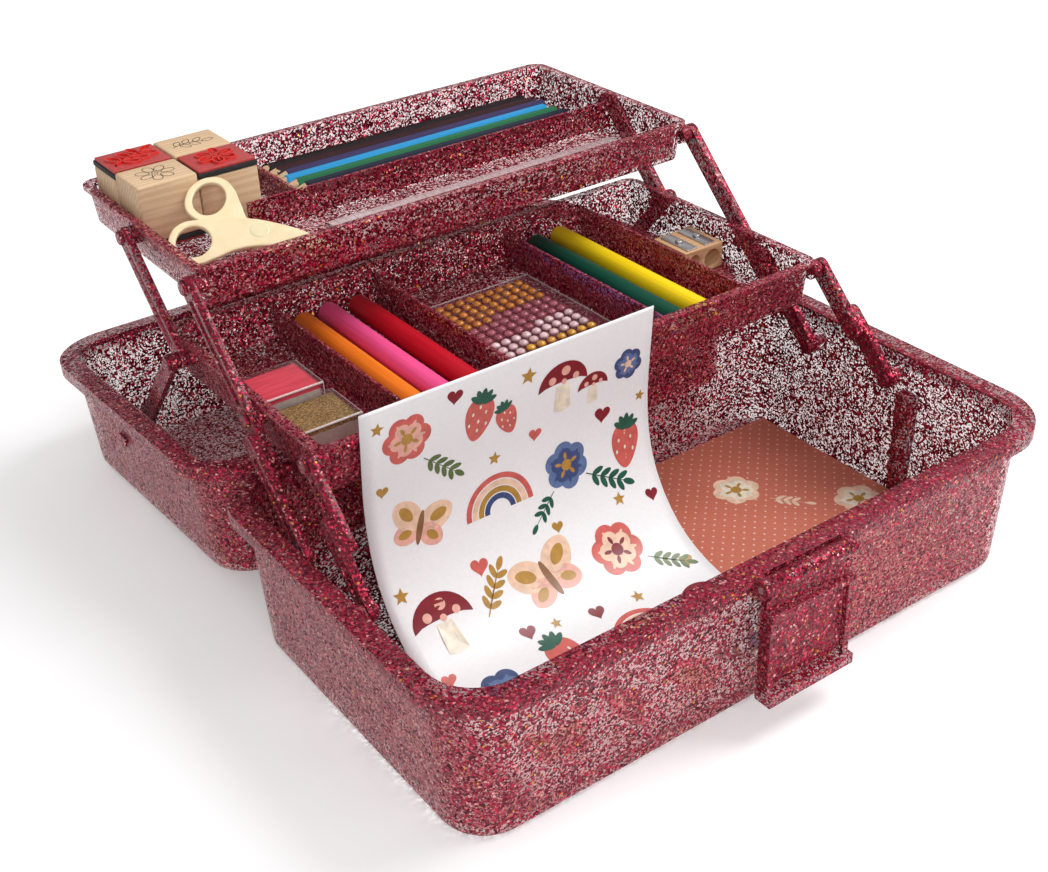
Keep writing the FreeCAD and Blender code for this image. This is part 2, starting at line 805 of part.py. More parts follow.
def make_lid_studs():
    """The studs in the lid walls that run in the slots of the links, with square caps."""
    pieces = []
    start = link_end + size("arm_clearance")
    end = wall_length / 2 - stud.z * math.tan(math.radians(num("tub_draft"))) + size("knuckle_gap")
    for name, side in (("left", -1), ("right", 1)):
        turn = ALONG_X if side > 0 else AGAINST_X
        place = lid_place.multiply(Placement(Vector(side * start.number, stud.y, stud.z), turn))
        shank = cylinder(f"stud_shank_{name}", size("rivet_radius"), end - start, Vector(), UPRIGHT)
        shank.Placement = place
        cap = block(f"stud_cap_{name}", size("boss_radius") * 1.1, size("boss_radius") * 1.6,
                    size("rivet_head_thick"), Vector())
        lift = Placement(Vector(0, 0, (end - start).number), UPRIGHT)
        cap.Placement = place.multiply(lift).multiply(cap.Placement)
        pieces.append(fuse(f"lid_stud_{name}", [shank, cap]))
    return group("lid_studs", pieces)


def make_hinge_pins():
    length = size("base_knuckle") + (size("lid_knuckle") + size("knuckle_gap")) * 2
    pins = []
    for name, side in (("left", -1), ("right", 1)):
        start = side * num("hinge_spacing") / 2 - length.number / 2
        pins.append(cylinder(f"hinge_pin_{name}", size("hinge_pin_radius"), length,
                             Vector(start, hinge.y, hinge.z), ALONG_X))
    return group("hinge_pins", pins)


def make_latch():
    """The latch flap, hanging from its barrel on the front of the base."""
    body = new_body("latch_flap")
    axis_y = -(size("box_width") / 2 + size("latch_pivot_out"))
    axis_z = size("base_height") - size("latch_pivot_drop")
    half = size("latch_width") / 2
    neck = half - size("ear_thick") / 2 - size("latch_side_gap")
    back = axis_y + size("latch_thick") - size("hinge_pin_radius") - size("latch_side_gap")
    front = back - size("latch_thick")
    low = axis_z - size("latch_length")
    shoulder = axis_z - size("latch_barrel") - size("latch_side_gap") * 4
    barrel = new_sketch(body, "YZ_Plane", -neck)
    draw_circle(barrel, axis_y, axis_z, size("latch_barrel"))
    pad(body, barrel, neck * 2)
    plate = new_sketch(body, "XZ_Plane", -back)
    draw_polygon(plate, [(-half, low), (half, low), (half, shoulder), (neck, shoulder),
                         (neck, axis_z), (-neck, axis_z), (-neck, shoulder), (-half, shoulder)])
    pad(body, plate, size("latch_thick"))

    # The bead hooks over the lip of the lid when the flap is turned up
    bead_top = axis_z - (size("lip_height") + size("latch_pivot_drop") + size("parting_gap")
                         + size("latch_side_gap") * 2)
    bead = new_sketch(body, "XZ_Plane", -front)
    draw_rectangle(bead, -half, bead_top - size("latch_rib"), half, bead_top)
    pad(body, bead, size("latch_bead"))
    ribs = new_sketch(body, "XZ_Plane", -front)
    for inner, outer in ((half - size("latch_rib"), half), (-half, size("latch_rib") - half)):
        draw_rectangle(ribs, inner, low + size("latch_lip_height"), outer, bead_top)
    pad(body, ribs, size("latch_rib"))
    lip = new_sketch(body, "XZ_Plane", -back)
    draw_rectangle(lip, -half - size("latch_rib") / 4, low, half + size("latch_rib") / 4,
                   low + size("latch_lip_height"))
    pad(body, lip, size("latch_thick") + size("latch_lip"))
    bore = new_sketch(body, "YZ_Plane", -neck)
    draw_circle(bore, axis_y, axis_z, size("hinge_pin_radius") + size("pin_clearance"))
    pocket(body, bore, neck * 2, back=True)
    pin_half = half + size("ear_thick") / 2
    pin = cylinder("latch_pin", size("hinge_pin_radius"), pin_half * 2,
                   Vector(-pin_half.number, axis_y.number, axis_z.number), ALONG_X)
    pin.Label = "latch_pin"
    return [body, pin]


# Where the trays stand when the box is open
middle_place = Placement(
    Vector(0, long_knee.y - num("middle_front") + num("middle_depth") / 2,
           long_knee.z + num("pivot_drop")), UPRIGHT)
upper_place = Placement(
    Vector(0, long_head.y - num("upper_front") + num("upper_depth") / 2,
           long_head.z + num("pivot_drop")), UPRIGHT)
upper_half, upper_deep, upper_floor = tray_inside(
    upper_length, size("upper_depth"), size("upper_height"))
middle_half, middle_deep, middle_floor = tray_inside(
    middle_length, size("middle_depth"), size("middle_height"))
loose = num("loose_gap")


def in_upper(x, y, z=0.0):
    """A place above the floor of the upper tray, from its middle."""
    return upper_place.multVec(Vector(x, y, upper_floor.number + loose + z))


def in_middle(x, y, z=0.0):
    """A place above the floor of the middle tray, from its middle."""
    return middle_place.multVec(Vector(x, y, middle_floor.number + loose + z))


def make_stamps():
    """Four wooden stamps in the back left corner; two show their rubber faces."""
    nodes = []
    step_x = num("stamp_length") + loose * 5
    step_y = num("stamp_depth") + loose * 5
    first_x = loose * 4 - upper_half.number + num("stamp_length") / 2
    first_y = upper_deep.number - num("tray_wall") / 2 - num("stamp_depth") / 2
    rubber, foam = size("stamp_rubber"), size("stamp_pad")
    wood = size("stamp_height") - rubber - foam
    for k, (column, line_back, faces_up) in enumerate(
            ((0, 0, True), (1, 0, False), (0, 1, False), (1, 1, True)), start=1):
        x = first_x + column * step_x
        y = first_y - line_back * step_y
        levels = (0.0, wood.number, (wood + foam).number)
        if not faces_up:
            levels = ((rubber + foam).number, rubber.number, 0.0)
        length, depth = size("stamp_length"), size("stamp_depth")
        inset = size("stamp_rubber")
        nodes.append(block(f"stamp_block_{k}", length, depth, wood, in_upper(x, y, levels[0])))
        nodes.append(block(f"stamp_foam_{k}", length, depth, foam, in_upper(x, y, levels[1])))
        nodes.append(block(f"stamp_rubber_{k}", length - inset, depth - inset, rubber,
                           in_upper(x, y, levels[2])))
    return nodes


def make_thin_pencils():
    """Six thin six-sided pencils in a row along the back, points to the left."""
    nodes = []
    radius, tip = size("thin_pencil"), size("thin_pencil_tip")
    pitch = num("thin_pencil") * 2 + loose
    start = upper_divider_short.number + num("divider_thick") + num("tray_wall") * 2
    for k in range(6):
        x = start + (k % 3) * num("tray_wall")
        y = upper_deep.number - num("thin_pencil") - loose - k * pitch
        middle = in_upper(x + tip.number, y, num("thin_pencil") * math.sqrt(3) / 2)
        barrel = doc.addObject("Part::Prism", f"thin_barrel_{k + 1}")
        barrel.Polygon = 6
        bind(barrel, "Circumradius", radius)
        bind(barrel, "Height", upper_half - upper_divider_short - size("thin_pencil_room") - tip)
        flat = Rotation(Vector(1, 0, 0), 30)
        barrel.Placement = Placement(middle, flat.multiply(ALONG_X))
        point = cone(f"thin_point_{k + 1}", radius * 0.84, radius * 0.12, tip, middle, AGAINST_X)
        nodes.append(fuse(f"thin_pencil_{k + 1}", [barrel, point]))
    return nodes


def make_thick_pencils():
    """Six thick round pencils in two bays of the middle tray, points to the front."""
    nodes = []
    radius, tip = size("thick_pencil"), size("thick_pencil_tip")
    step = num("thick_pencil") * 2 + loose * 3
    back = middle_deep.number - num("tray_wall")
    first = middle_dividers[1].number - num("divider_thick") - num("thick_pencil")
    second = middle_dividers[2].number + num("divider_thick") + num("thick_pencil")
    places = [(first - 3.2 * step, 2.0), (first - 1.9 * step, 0.0), (first - 0.5 * step, 2.0),
              (second, 2.5), (second + step, 1.0), (second + 2.4 * step, 0.0)]
    for k, (x, ahead) in enumerate(places, start=1):
        barrel_length = size("thick_pencil_length") - tip
        barrel = cylinder(f"thick_barrel_{k}", radius, barrel_length,
                          in_middle(x, back - ahead, radius.number), AGAINST_Y)
        point = cone(f"thick_point_{k}", radius * 0.9, radius * 0.2, tip,
                     in_middle(x, back - ahead - barrel_length.number, radius.number), AGAINST_Y)
        nodes.append(fuse(f"thick_pencil_{k}", [barrel, point]))
    return nodes


def make_ink_pads():
    """Two ink pads, each shut in a clear case."""
    nodes = []
    wall = size("ink_case_wall")
    length, depth, height = (size(f"ink_case_{name}") for name in ("length", "depth", "height"))
    gap = size("ink_gap") * 2
    x = num("tray_wall") - middle_half.number + num("ink_case_length") / 2
    for k, y in enumerate((num("ink_case_depth") * 0.2, -num("ink_case_depth") * 1.05), start=1):
        case = block(f"ink_case_whole_{k}", length, depth, height, in_middle(x, y))
        room = block(f"ink_case_room_{k}", length - wall * 2, depth - wall * 2, height - wall * 2,
                     in_middle(x, y, wall.number))
        shell = doc.addObject("Part::Cut", f"ink_case_{k}")
        shell.Base = case
        shell.Tool = room
        nodes.append(shell)
        nodes.append(block(f"ink_pad_{k}", length - wall * 2 - gap, depth - wall * 2 - gap,
                           height - wall * 2 - gap,
                           in_middle(x, y, wall.number + num("ink_gap"))))
    return nodes


def make_flat_goods():
    """The ruler in the upper tray, the gem pack in the middle one and the card in the base."""
    ruler_length = upper_half - upper_divider_short - size("ruler_room")
    ruler_x = (upper_half + upper_divider_short).number / 2 - num("tray_wall")
    ruler_y = num("upper_divider_y") - num("ruler_width") / 2 - num("ruler_room") * 1.13
    ruler = block("ruler", ruler_length, size("ruler_width"), size("ruler_thick"),
                  in_upper(ruler_x, ruler_y))
    pack_x = (middle_dividers[1] + middle_dividers[2]).number / 2
    pack = block("gem_pack", middle_dividers[2] - middle_dividers[1] - size("gem_pack_room"),
                 size("gem_pack_depth"), size("gem_pack_thick"), in_middle(pack_x, 0.0))
    card_x = inner_half.number - num("base_height") * slope("tub_draft").number
    card_x = card_x - num("base_round") + num("tub_wall") / 2 - num("card_length") / 2
    card_width = size("box_width") - size("card_room")
    card = block("card", size("card_length"), card_width, size("card_thick"),
                 Vector(card_x, 0, num("tub_floor") + loose))
    return [ruler, pack, card]


def make_sticker_sheet():
    """A curled sheet that stands against the middle tray and runs out on the card."""
    body = new_body("sticker_sheet")
    thick, curl = size("sticker_thick"), size("sticker_curl")
    low = size("tub_floor") + size("card_thick") + size("loose_gap") * 2
    back = as_size(long_knee.y) - size("middle_front") - size("parting_gap") * 3
    centre_y, centre_z = back - curl, low + curl
    top = centre_z + size("sticker_length") * 0.4
    front = centre_y - (size("sticker_length") * 0.6 - curl * (math.pi / 2))
    made = new_sketch(body, "YZ_Plane", -(size("sticker_width") * 0.79))
    y, z, r, t = centre_y.number, centre_z.number, curl.number, thick.number
    b, f, u = back.number, front.number, top.number
    made.addGeometry([
        line(b, u, b, z), arc(y, z, r, -90, 0), line(y, z - r, f, z - r),
        line(f, z - r, f, z - r + t), line(f, z - r + t, y, z - r + t),
        arc(y, z, r - t, -90, 0), line(b - t, z, b - t, u), line(b - t, u, b, u)])
    joints = ((0, 2, 1, 2), (1, 1, 2, 1), (4, 2, 5, 1), (5, 2, 6, 1))
    for one, one_end, other, other_end in joints:
        made.addConstraint(Sketcher.Constraint("Tangent", one, one_end, other, other_end))
    for one, other in ((2, 3), (3, 4), (6, 7), (7, 0)):
        made.addConstraint(Sketcher.Constraint("Coincident", one, 2, other, 1))
    made.addConstraint(Sketcher.Constraint("Horizontal", 2))
    made.addConstraint(Sketcher.Constraint("Vertical", 3))
    made.addConstraint(Sketcher.Constraint("Vertical", 0))
    made.addConstraint(Sketcher.Constraint("Horizontal", 7))
    made.addConstraint(Sketcher.Constraint("Coincident", 1, 3, 5, 3))
    hold_radius(made, 1, curl)
    hold_radius(made, 5, curl - thick)
    hold(made, 1, 3, centre_y, centre_z)
    for geometry, kind, value in ((0, "DistanceY", top), (3, "DistanceX", front)):
        place = made.addConstraint(Sketcher.Constraint(kind, -1, 1, geometry, 1, value.number))
        made.setExpression(f"Constraints[{place}]", value.text)
    pad(body, made, size("sticker_width"))
    return body


def make_sharpener():
    """A double wooden sharpener: tapered holes in front, two blades held by screws on top."""
    body = new_body("sharpener_body")
    width, height = size("sharpener_width"), size("sharpener_height")
    small, large = size("sharpener_small"), size("sharpener_large")
    outline = new_sketch(body, "XZ_Plane")
    draw_rectangle(outline, -(width / 2), 0.0, width / 2, height)
    pad(body, outline, size("sharpener_length"))
    holes = ((-(width / 4), small), (width / 4 - size("blade_thick"), large))
    for x, radius in holes:
        hole = new_sketch(body, "XZ_Plane", size("sharpener_length"))
        draw_circle(hole, x, height - radius - size("blade_thick") * 4, radius)
        pocket(body, hole, size("sharpener_length") * 0.7, taper=as_size(-7.0))
    place = in_middle(middle_half.number - num("sharpener_width") / 2 - num("tray_wall"),
                      num("sharpener_length") * 0.03 + num("sharpener_length") / 2)
    body.Placement = Placement(place, UPRIGHT)
    blades = []
    screws = []
    for k, (x, radius) in enumerate(holes, start=1):
        top = place + Vector(x.number, -num("sharpener_length") / 2, height.number)
        top = top + Vector(0, 0, loose / 2)
        blades.append(block(f"sharpener_blade_{k}", size("blade_width"),
                            size("sharpener_length") * 0.86, size("blade_thick"), top))
        screws.append(cylinder(f"sharpener_screw_{k}", size("blade_screw"), size("blade_thick") * 2,
                               top + Vector(0, 0, num("blade_thick") + loose / 2), UPRIGHT))
    return [body, group("sharpener_blades", blades), group("sharpener_screws", screws)]


def make_scissors():
    """Child's scissors, nearly shut, that lean with one loop against the stamps."""
    thick, loop = size("scissors_thick"), size("scissors_loop")
    hole, blade = size("scissors_hole"), size("scissors_blade")
    handle, spread = size("scissors_handle"), size("scissors_spread")
    wide = size("scissors_width")
    nose = Vector(0.743, -0.628, -0.232).normalize()
    face = Vector(-0.22, -0.38, 0.90).normalize()
    pivot = in_upper(num("scissors_from_side") - upper_half.number, -num("scissors_ahead"),
                     num("scissors_lift"))
    place = Placement(pivot, Rotation(nose, face.cross(nose), face, "XZY"))
    nodes = []
    below = -thick - size("loose_gap")
    for name, sign, level in (("upper", 1.0, as_size(0.0)), ("lower", -1.0, below)):
        body = new_body(f"scissors_{name}")
        side = spread * sign
        ring = new_sketch(body, "XY_Plane", level)
        draw_circle(ring, -handle, side, loop)
        pad(body, ring, thick)

        # One flat piece from the loop past the pivot to the tip on the other side
        shank = new_sketch(body, "XY_Plane", level)
        draw_polygon(shank, [
            (-handle + loop * 0.6, side - loop * (sign * 0.76)),
            (-(wide * 0.8), -(wide * sign)),
            (wide * 0.8, -(wide * sign)),
            (blade, -(wide * (sign * 0.35))),
            (blade * 0.97, wide * (sign * 0.1)),
            (wide, wide * sign),
            (-wide, wide * (sign * 1.4)),
            (-handle + loop * 0.85, side + loop * (sign * 0.4))])
        pad(body, shank, thick)
        opening = new_sketch(body, "XY_Plane", level)
        draw_circle(opening, -handle, side, hole)
        pocket(body, opening, thick, back=True)
        eye = new_sketch(body, "XY_Plane", level)
        draw_circle(eye, 0.0, 0.0, size("hinge_pin_radius") + size("pin_clearance"))
        pocket(body, eye, thick, back=True)
        body.Placement = place
        nodes.append(body)
    stem = cylinder("scissors_stem", size("hinge_pin_radius"), thick * 2 + size("loose_gap") * 2,
                    Vector(), UPRIGHT)
    low = Vector(0, 0, -thick.number - num("loose_gap"))
    stem.Placement = place.multiply(Placement(low, UPRIGHT))
    button = cylinder("scissors_button", size("scissors_button"), size("rivet_head_thick"),
                      Vector(), UPRIGHT)
    high = Vector(0, 0, thick.number + num("loose_gap"))
    button.Placement = place.multiply(Placement(high, UPRIGHT))
    nodes.append(fuse("scissors_rivet", [stem, button]))
    return nodes


def make_all():
    """Every node of the assembly, in the order it goes together."""
    nodes = [make_base(), make_lid(), make_hinge_pins()]
    middle_y = size("middle_front") - size("middle_depth") / 2
    middle_pivots = [
        (middle_y - size("front_arm_ahead"), -size("pivot_drop") + size("front_arm_rise")),
        (middle_y, -size("pivot_drop")),
        (middle_y + size("rear_arm_behind"), -size("pivot_drop") + size("rear_arm_rise"))]
    across = [(divider, None) for divider in middle_dividers]
    nodes.append(make_tray("middle_tray", middle_length, size("middle_depth"),
                           size("middle_height"), middle_pivots, across, [], middle_place))
    upper_y = size("upper_front") - size("upper_depth") / 2
    upper_pivots = [
        (upper_y, -size("pivot_drop")),
        (upper_y + size("rear_arm_behind"), -size("pivot_drop") + size("rear_arm_rise"))]
    nodes.append(make_tray("upper_tray", upper_length, size("upper_depth"),
                           size("upper_height"), upper_pivots,
                           [(upper_divider_short, size("upper_divider_y"))],
                           [(size("upper_divider_y"), upper_divider_start)], upper_place))
    span = size("arm_span")
    nothing = as_size(0.0)
    for name, side in (("left", -1), ("right", 1)):
        nodes.append(make_arm(f"long_arm_{name}", side, long_foot, span * 2, size("long_arm_jog"),
                              [nothing, span, span * 2]))
        nodes.append(make_arm(f"front_arm_{name}", side, front_foot, span, size("front_arm_jog"),
                              [nothing, span]))
        nodes.append(make_arm(f"rear_arm_{name}", side, rear_foot, span, None, [nothing, span]))
        nodes.append(make_lid_link(f"lid_link_{name}", side))
    nodes += make_rivets() + [make_lid_studs()] + make_latch()
    nodes += make_stamps() + make_scissors() + make_thin_pencils() + make_flat_goods()
    nodes += make_thick_pencils() + make_ink_pads() + make_sharpener() + [make_sticker_sheet()]
    return nodes


nodes = make_all()
doc.recompute()
os.makedirs("parts", exist_ok=True)
for made in doc.Objects:
    if "Invalid" in made.State or "Error" in made.State:
        raise RuntimeError(f"{made.Label} did not build")
for node in nodes:
    shape = node.Shape
    if shape.isNull() or not shape.isValid() or shape.Volume <= 0:
        raise RuntimeError(f"{node.Label} has no sound solid")
    if node.TypeId == "PartDesign::Body" and len(shape.Solids) != 1:
        raise RuntimeError(f"{node.Label} is not one solid")
    shape.exportStep(f"parts/{node.Label}.step")
    print(f"{node.Label}: {len(shape.Solids)} solid(s), {shape.Volume:.0f} mm3")
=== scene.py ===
import math

import bmesh
import bpy
import numpy as np
from mathutils import Matrix, Vector


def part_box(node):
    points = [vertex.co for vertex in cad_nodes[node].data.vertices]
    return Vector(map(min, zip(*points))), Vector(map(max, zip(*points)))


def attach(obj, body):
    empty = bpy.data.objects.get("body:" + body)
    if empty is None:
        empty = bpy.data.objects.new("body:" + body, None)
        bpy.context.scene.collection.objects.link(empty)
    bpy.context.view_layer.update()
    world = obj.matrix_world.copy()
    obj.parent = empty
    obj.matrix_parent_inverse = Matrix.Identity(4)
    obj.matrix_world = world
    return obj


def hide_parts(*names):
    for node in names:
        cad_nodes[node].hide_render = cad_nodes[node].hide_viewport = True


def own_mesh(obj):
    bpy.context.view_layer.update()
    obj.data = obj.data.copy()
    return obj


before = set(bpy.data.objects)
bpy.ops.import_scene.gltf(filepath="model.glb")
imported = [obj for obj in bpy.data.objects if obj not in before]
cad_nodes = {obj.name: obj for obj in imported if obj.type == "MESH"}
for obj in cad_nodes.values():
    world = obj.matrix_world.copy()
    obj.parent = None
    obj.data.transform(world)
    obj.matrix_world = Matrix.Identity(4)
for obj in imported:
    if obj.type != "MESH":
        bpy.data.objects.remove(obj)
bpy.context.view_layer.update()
scene = bpy.context.scene


# Camera: the box is seen from above its front left corner. The place, turn and
# focal length come from fitting the rims of the tubs and trays to the picture.
focal_pixels, image_width = 1506.8, 1048
yaw, pitch, roll = 0.60673, 0.54937, -0.0404
eye_place = (-0.36138, -0.43097, 0.43016)
ahead = Vector((math.sin(yaw) * math.cos(pitch), math.cos(yaw) * math.cos(pitch), -math.sin(pitch)))
level = Vector((math.cos(yaw), -math.sin(yaw), 0.0))
upward = level.cross(ahead)
right = math.cos(roll) * level + math.sin(roll) * upward
upward = right.cross(ahead)
view = bpy.data.cameras.new("view")
view.sensor_fit = "HORIZONTAL"
view.sensor_width = 36.0
view.lens = focal_pixels / image_width * view.sensor_width
view.clip_start = 0.01
eye = bpy.data.objects.new("view", view)
eye_turn = Matrix((right, upward, -ahead)).transposed().to_4x4()
eye.matrix_world = Matrix.Translation(eye_place) @ eye_turn
scene.collection.objects.link(eye)
scene.camera = eye


# Stage: a pale studio sweep. The floor keeps the soft shadow and is lifted to
# white only for the rays that look at it, and the world does the same.
def feed(tree, node, **inputs):
    """Set or link inputs of a node; each is a value or the output that feeds it, i0 is the first."""
    for key, value in inputs.items():
        spot = int(key[1:]) if key[0] == "i" and key[1:].isdigit() else key.replace("_", " ")
        if isinstance(value, bpy.types.NodeSocket):
            tree.links.new(value, node.inputs[spot])
        else:
            node.inputs[spot].default_value = value


def add(tree, kind, settings=None, **inputs):
    """Place a node with its settings and inputs."""
    node = tree.nodes.new("ShaderNode" + kind)
    for key, value in (settings or {}).items():
        setattr(node, key, value)
    feed(tree, node, **inputs)
    return node


def sums(tree, operation, first, second=0.0):
    """One step of arithmetic between values or outputs."""
    return add(tree, "Math", {"operation": operation}, i0=first, i1=second).outputs[0]


def ranged(tree, value, low, high, start=0.0, end=1.0):
    """A value between start and end, carried over to the range from low to high."""
    return add(tree, "MapRange", Value=value, From_Min=start, From_Max=end, To_Min=low,
               To_Max=high).outputs[0]


def mesh_piece(name, points, faces, slots=None):
    """A mesh object at the origin from whole arrays of points and faces; points that fall
    together, as in the middle of a shape drawn in rings, become one."""
    mesh = bpy.data.meshes.new(name)
    mesh.from_pydata(np.asarray(points, float).tolist(), [], list(faces))
    if slots is not None:
        mesh.polygons.foreach_set("material_index", slots)
    joined = bmesh.new()
    joined.from_mesh(mesh)
    bmesh.ops.remove_doubles(joined, verts=joined.verts, dist=1e-7)
    joined.to_mesh(mesh)
    joined.free()
    made = bpy.data.objects.new(name, mesh)
    scene.collection.objects.link(made)
    return made


half_floor = 9.0
floor_corners = [(x * half_floor, y * half_floor, 0.0) for x, y in ((-1, -1), (1, -1), (1, 1), (-1, 1))]
floor = mesh_piece("floor", floor_corners, [(0, 1, 2, 3)])
floor_paint = bpy.data.materials.new("floor_paint")
floor_paint.use_nodes = True
tree = floor_paint.node_tree
tree.nodes.clear()
seen = add(tree, "LightPath")
matte = add(tree, "BsdfDiffuse", Color=(0.86, 0.86, 0.87, 1.0))
away = add(tree, "VectorMath", {"operation": "LENGTH"}, i0=add(tree, "TexCoord").outputs["Object"])
# Painted shade: the glow grows with the distance from the middle, so the floor round the box is kept darker
# than the far floor.
lift = ranged(tree, away.outputs["Value"], 0.26, 0.62, start=0.3, end=1.8)
glow = add(tree, "Emission", Color=(1.0, 1.0, 1.0, 1.0), Strength=lift)
lifted = add(tree, "AddShader", i0=matte.outputs[0], i1=glow.outputs[0])
looks = sums(tree, "MAXIMUM", seen.outputs["Is Camera Ray"], seen.outputs["Is Glossy Ray"])
looks = sums(tree, "MAXIMUM", looks, seen.outputs["Is Transmission Ray"])
chosen = add(tree, "MixShader", Fac=looks, i1=matte.outputs[0], i2=lifted.outputs[0])
add(tree, "OutputMaterial", Surface=chosen.outputs[0])
floor.data.materials.append(floor_paint)

studio = bpy.data.worlds.new("studio")
studio.use_nodes = True
tree = studio.node_tree
tree.nodes.clear()
seen = add(tree, "LightPath")
looks = sums(tree, "MAXIMUM", seen.outputs["Is Camera Ray"], seen.outputs["Is Transmission Ray"])
white = add(tree, "Background", Color=(1.0, 1.0, 1.0, 1.0), Strength=1.0)
soft = add(tree, "Background", Color=(1.0, 0.99, 0.98, 1.0), Strength=0.55)
chosen = add(tree, "MixShader", Fac=looks, i1=soft.outputs[0], i2=white.outputs[0])
add(tree, "OutputWorld", Surface=chosen.outputs[0])
scene.world = studio

aim_point = Vector((0.0, 0.06, 0.08))
for name, place, reach, power in (("key", (0.80, -0.25, 1.35), 0.9, 17.0),
                                  ("side", (-0.5, -1.2, 0.9), 0.7, 6.0)):
    lamp = bpy.data.lights.new(name, "AREA")
    lamp.shape = "DISK"
    lamp.size = reach
    lamp.energy = power
    holder = bpy.data.objects.new(name, lamp)
    aim = aim_point - Vector(place)
    holder.matrix_world = Matrix.Translation(place) @ aim.to_track_quat("-Z", "Y").to_matrix().to_4x4()
    scene.collection.objects.link(holder)
scene.view_settings.view_transform = "Standard"


# Base tub: the deep half of the box, moulded in clear pink plastic that is
# filled with red glitter. The flakes hide most of what lies behind each wall.
def start_material(name):
    """An empty material with its shader and its Object coordinates, for the nodes of a piece."""
    made = bpy.data.materials.new(name)
    made.use_nodes = True
    tree = made.node_tree
    tree.nodes.clear()
    shader = add(tree, "BsdfPrincipled")
    add(tree, "OutputMaterial", Surface=shader.outputs["BSDF"])
    return made, tree, shader, add(tree, "TexCoord").outputs["Object"]


def noise(tree, where, scale, detail):
    """Soft noise from 0 to 1."""
    return add(tree, "TexNoise", Vector=where, Scale=scale, Detail=detail).outputs["Fac"]


def blended(tree, share, first, second):
    """A colour on the way from the first to the second."""
    return add(tree, "Mix", {"data_type": "RGBA"}, Factor=share, A=first, B=second).outputs[2]


def shades(tree, value, stops, stepped=False):
    """A colour ramp from (place, colour) stops."""
    made = add(tree, "ValToRGB", Fac=value)
    ramp = made.color_ramp
    ramp.interpolation = "CONSTANT" if stepped else "LINEAR"
    while len(ramp.elements) < len(stops):
        ramp.elements.new(0.5)
    for element, (at, colour) in zip(ramp.elements, stops):
        element.position = at
        element.color = (*colour, 1.0)
    return made.outputs["Color"]


def group_tree(name, inputs, outputs):
    """An empty shader node group whose sockets are given by name and kind."""
    tree = bpy.data.node_groups.new(name, "ShaderNodeTree")
    for way, sockets in (("INPUT", inputs), ("OUTPUT", outputs)):
        for label, kind in sockets.items():
            tree.interface.new_socket(label, in_out=way, socket_type="NodeSocket" + kind)
    return tree, tree.nodes.new("NodeGroupInput").outputs, tree.nodes.new("NodeGroupOutput").inputs


def glitter_flakes():
    """Flakes as the cells of two sizes of 3-D Voronoi; a cell is a flake where its
    random number is below the cover, and each flake has its own colour and tilt."""
    tree, given, put = group_tree(
        "glitter_flakes", {"Cover": "Float", "Fine cover": "Float", "Clear": "Color"},
        {"Color": "Color", "Flake": "Float", "Roughness": "Float", "Metallic": "Float", "Normal": "Vector"})
    where = add(tree, "TexCoord").outputs["Object"]
    drift = ranged(tree, noise(tree, where, 45.0, 2.0), 0.82, 1.18, start=0.3, end=0.7)
    flake_tilt, flake_metal = 0.8, 0.45
    masks, hues, tilts = [], [], []
    for cells_per_metre, amount in ((1080.0, given["Cover"]), (1900.0, given["Fine cover"])):
        cells = add(tree, "TexVoronoi", {"voronoi_dimensions": "3D"}, Vector=where, Scale=cells_per_metre)
        parts = add(tree, "SeparateColor", Color=cells.outputs["Color"])
        masks.append(sums(tree, "LESS_THAN", parts.outputs["Red"], sums(tree, "MULTIPLY", amount, drift)))
        hues.append(parts.outputs["Green"])
        tilts.append(cells.outputs["Color"])
    flake = sums(tree, "MAXIMUM", masks[0], masks[1])
    tone = add(tree, "Mix", Factor=masks[0], A=hues[1], B=hues[0]).outputs["Result"]
    # The two palest stops, pale pink and gold, are partly painted glints: flakes coloured as if they caught
    # the light.
    shade = shades(tree, tone, (
        (0.0, (0.062, 0.003, 0.010)), (0.20, (0.150, 0.006, 0.020)), (0.48, (0.29, 0.009, 0.034)),
        (0.72, (0.52, 0.016, 0.060)), (0.87, (0.70, 0.100, 0.14)), (0.945, (0.86, 0.40, 0.39)),
        (0.988, (0.78, 0.33, 0.05))), stepped=True)
    tilt = add(tree, "Mix", {"data_type": "VECTOR"}, Factor=masks[0], A=tilts[1], B=tilts[0])
    tilt = add(tree, "VectorMath", {"operation": "SUBTRACT"}, i0=tilt.outputs[1], i1=(0.5, 0.5, 0.5))
    tilt = add(tree, "VectorMath", {"operation": "SCALE"}, i0=tilt.outputs[0],
               Scale=sums(tree, "MULTIPLY", flake, flake_tilt))
    level = add(tree, "NewGeometry").outputs["Normal"]
    tilted = add(tree, "VectorMath", {"operation": "ADD"}, i0=level, i1=tilt.outputs[0])
    tilted = add(tree, "VectorMath", {"operation": "NORMALIZE"}, i0=tilted.outputs[0])
    for spot, value in (("Color", blended(tree, flake, given["Clear"], shade)), ("Flake", flake),
                        ("Roughness", ranged(tree, flake, 0.14, 0.32)),
                        ("Metallic", sums(tree, "MULTIPLY", flake, flake_metal)),
                        ("Normal", tilted.outputs[0])):
        tree.links.new(value, put[spot])
    return tree


flakes = glitter_flakes()


def front_only(tree, cover):
    """The cover on faces that are seen from outside; the back of a face stays clear."""
    behind = add(tree, "NewGeometry").outputs["Backfacing"]
    return sums(tree, "MULTIPLY", cover, sums(tree, "SUBTRACT", 1.0, behind))


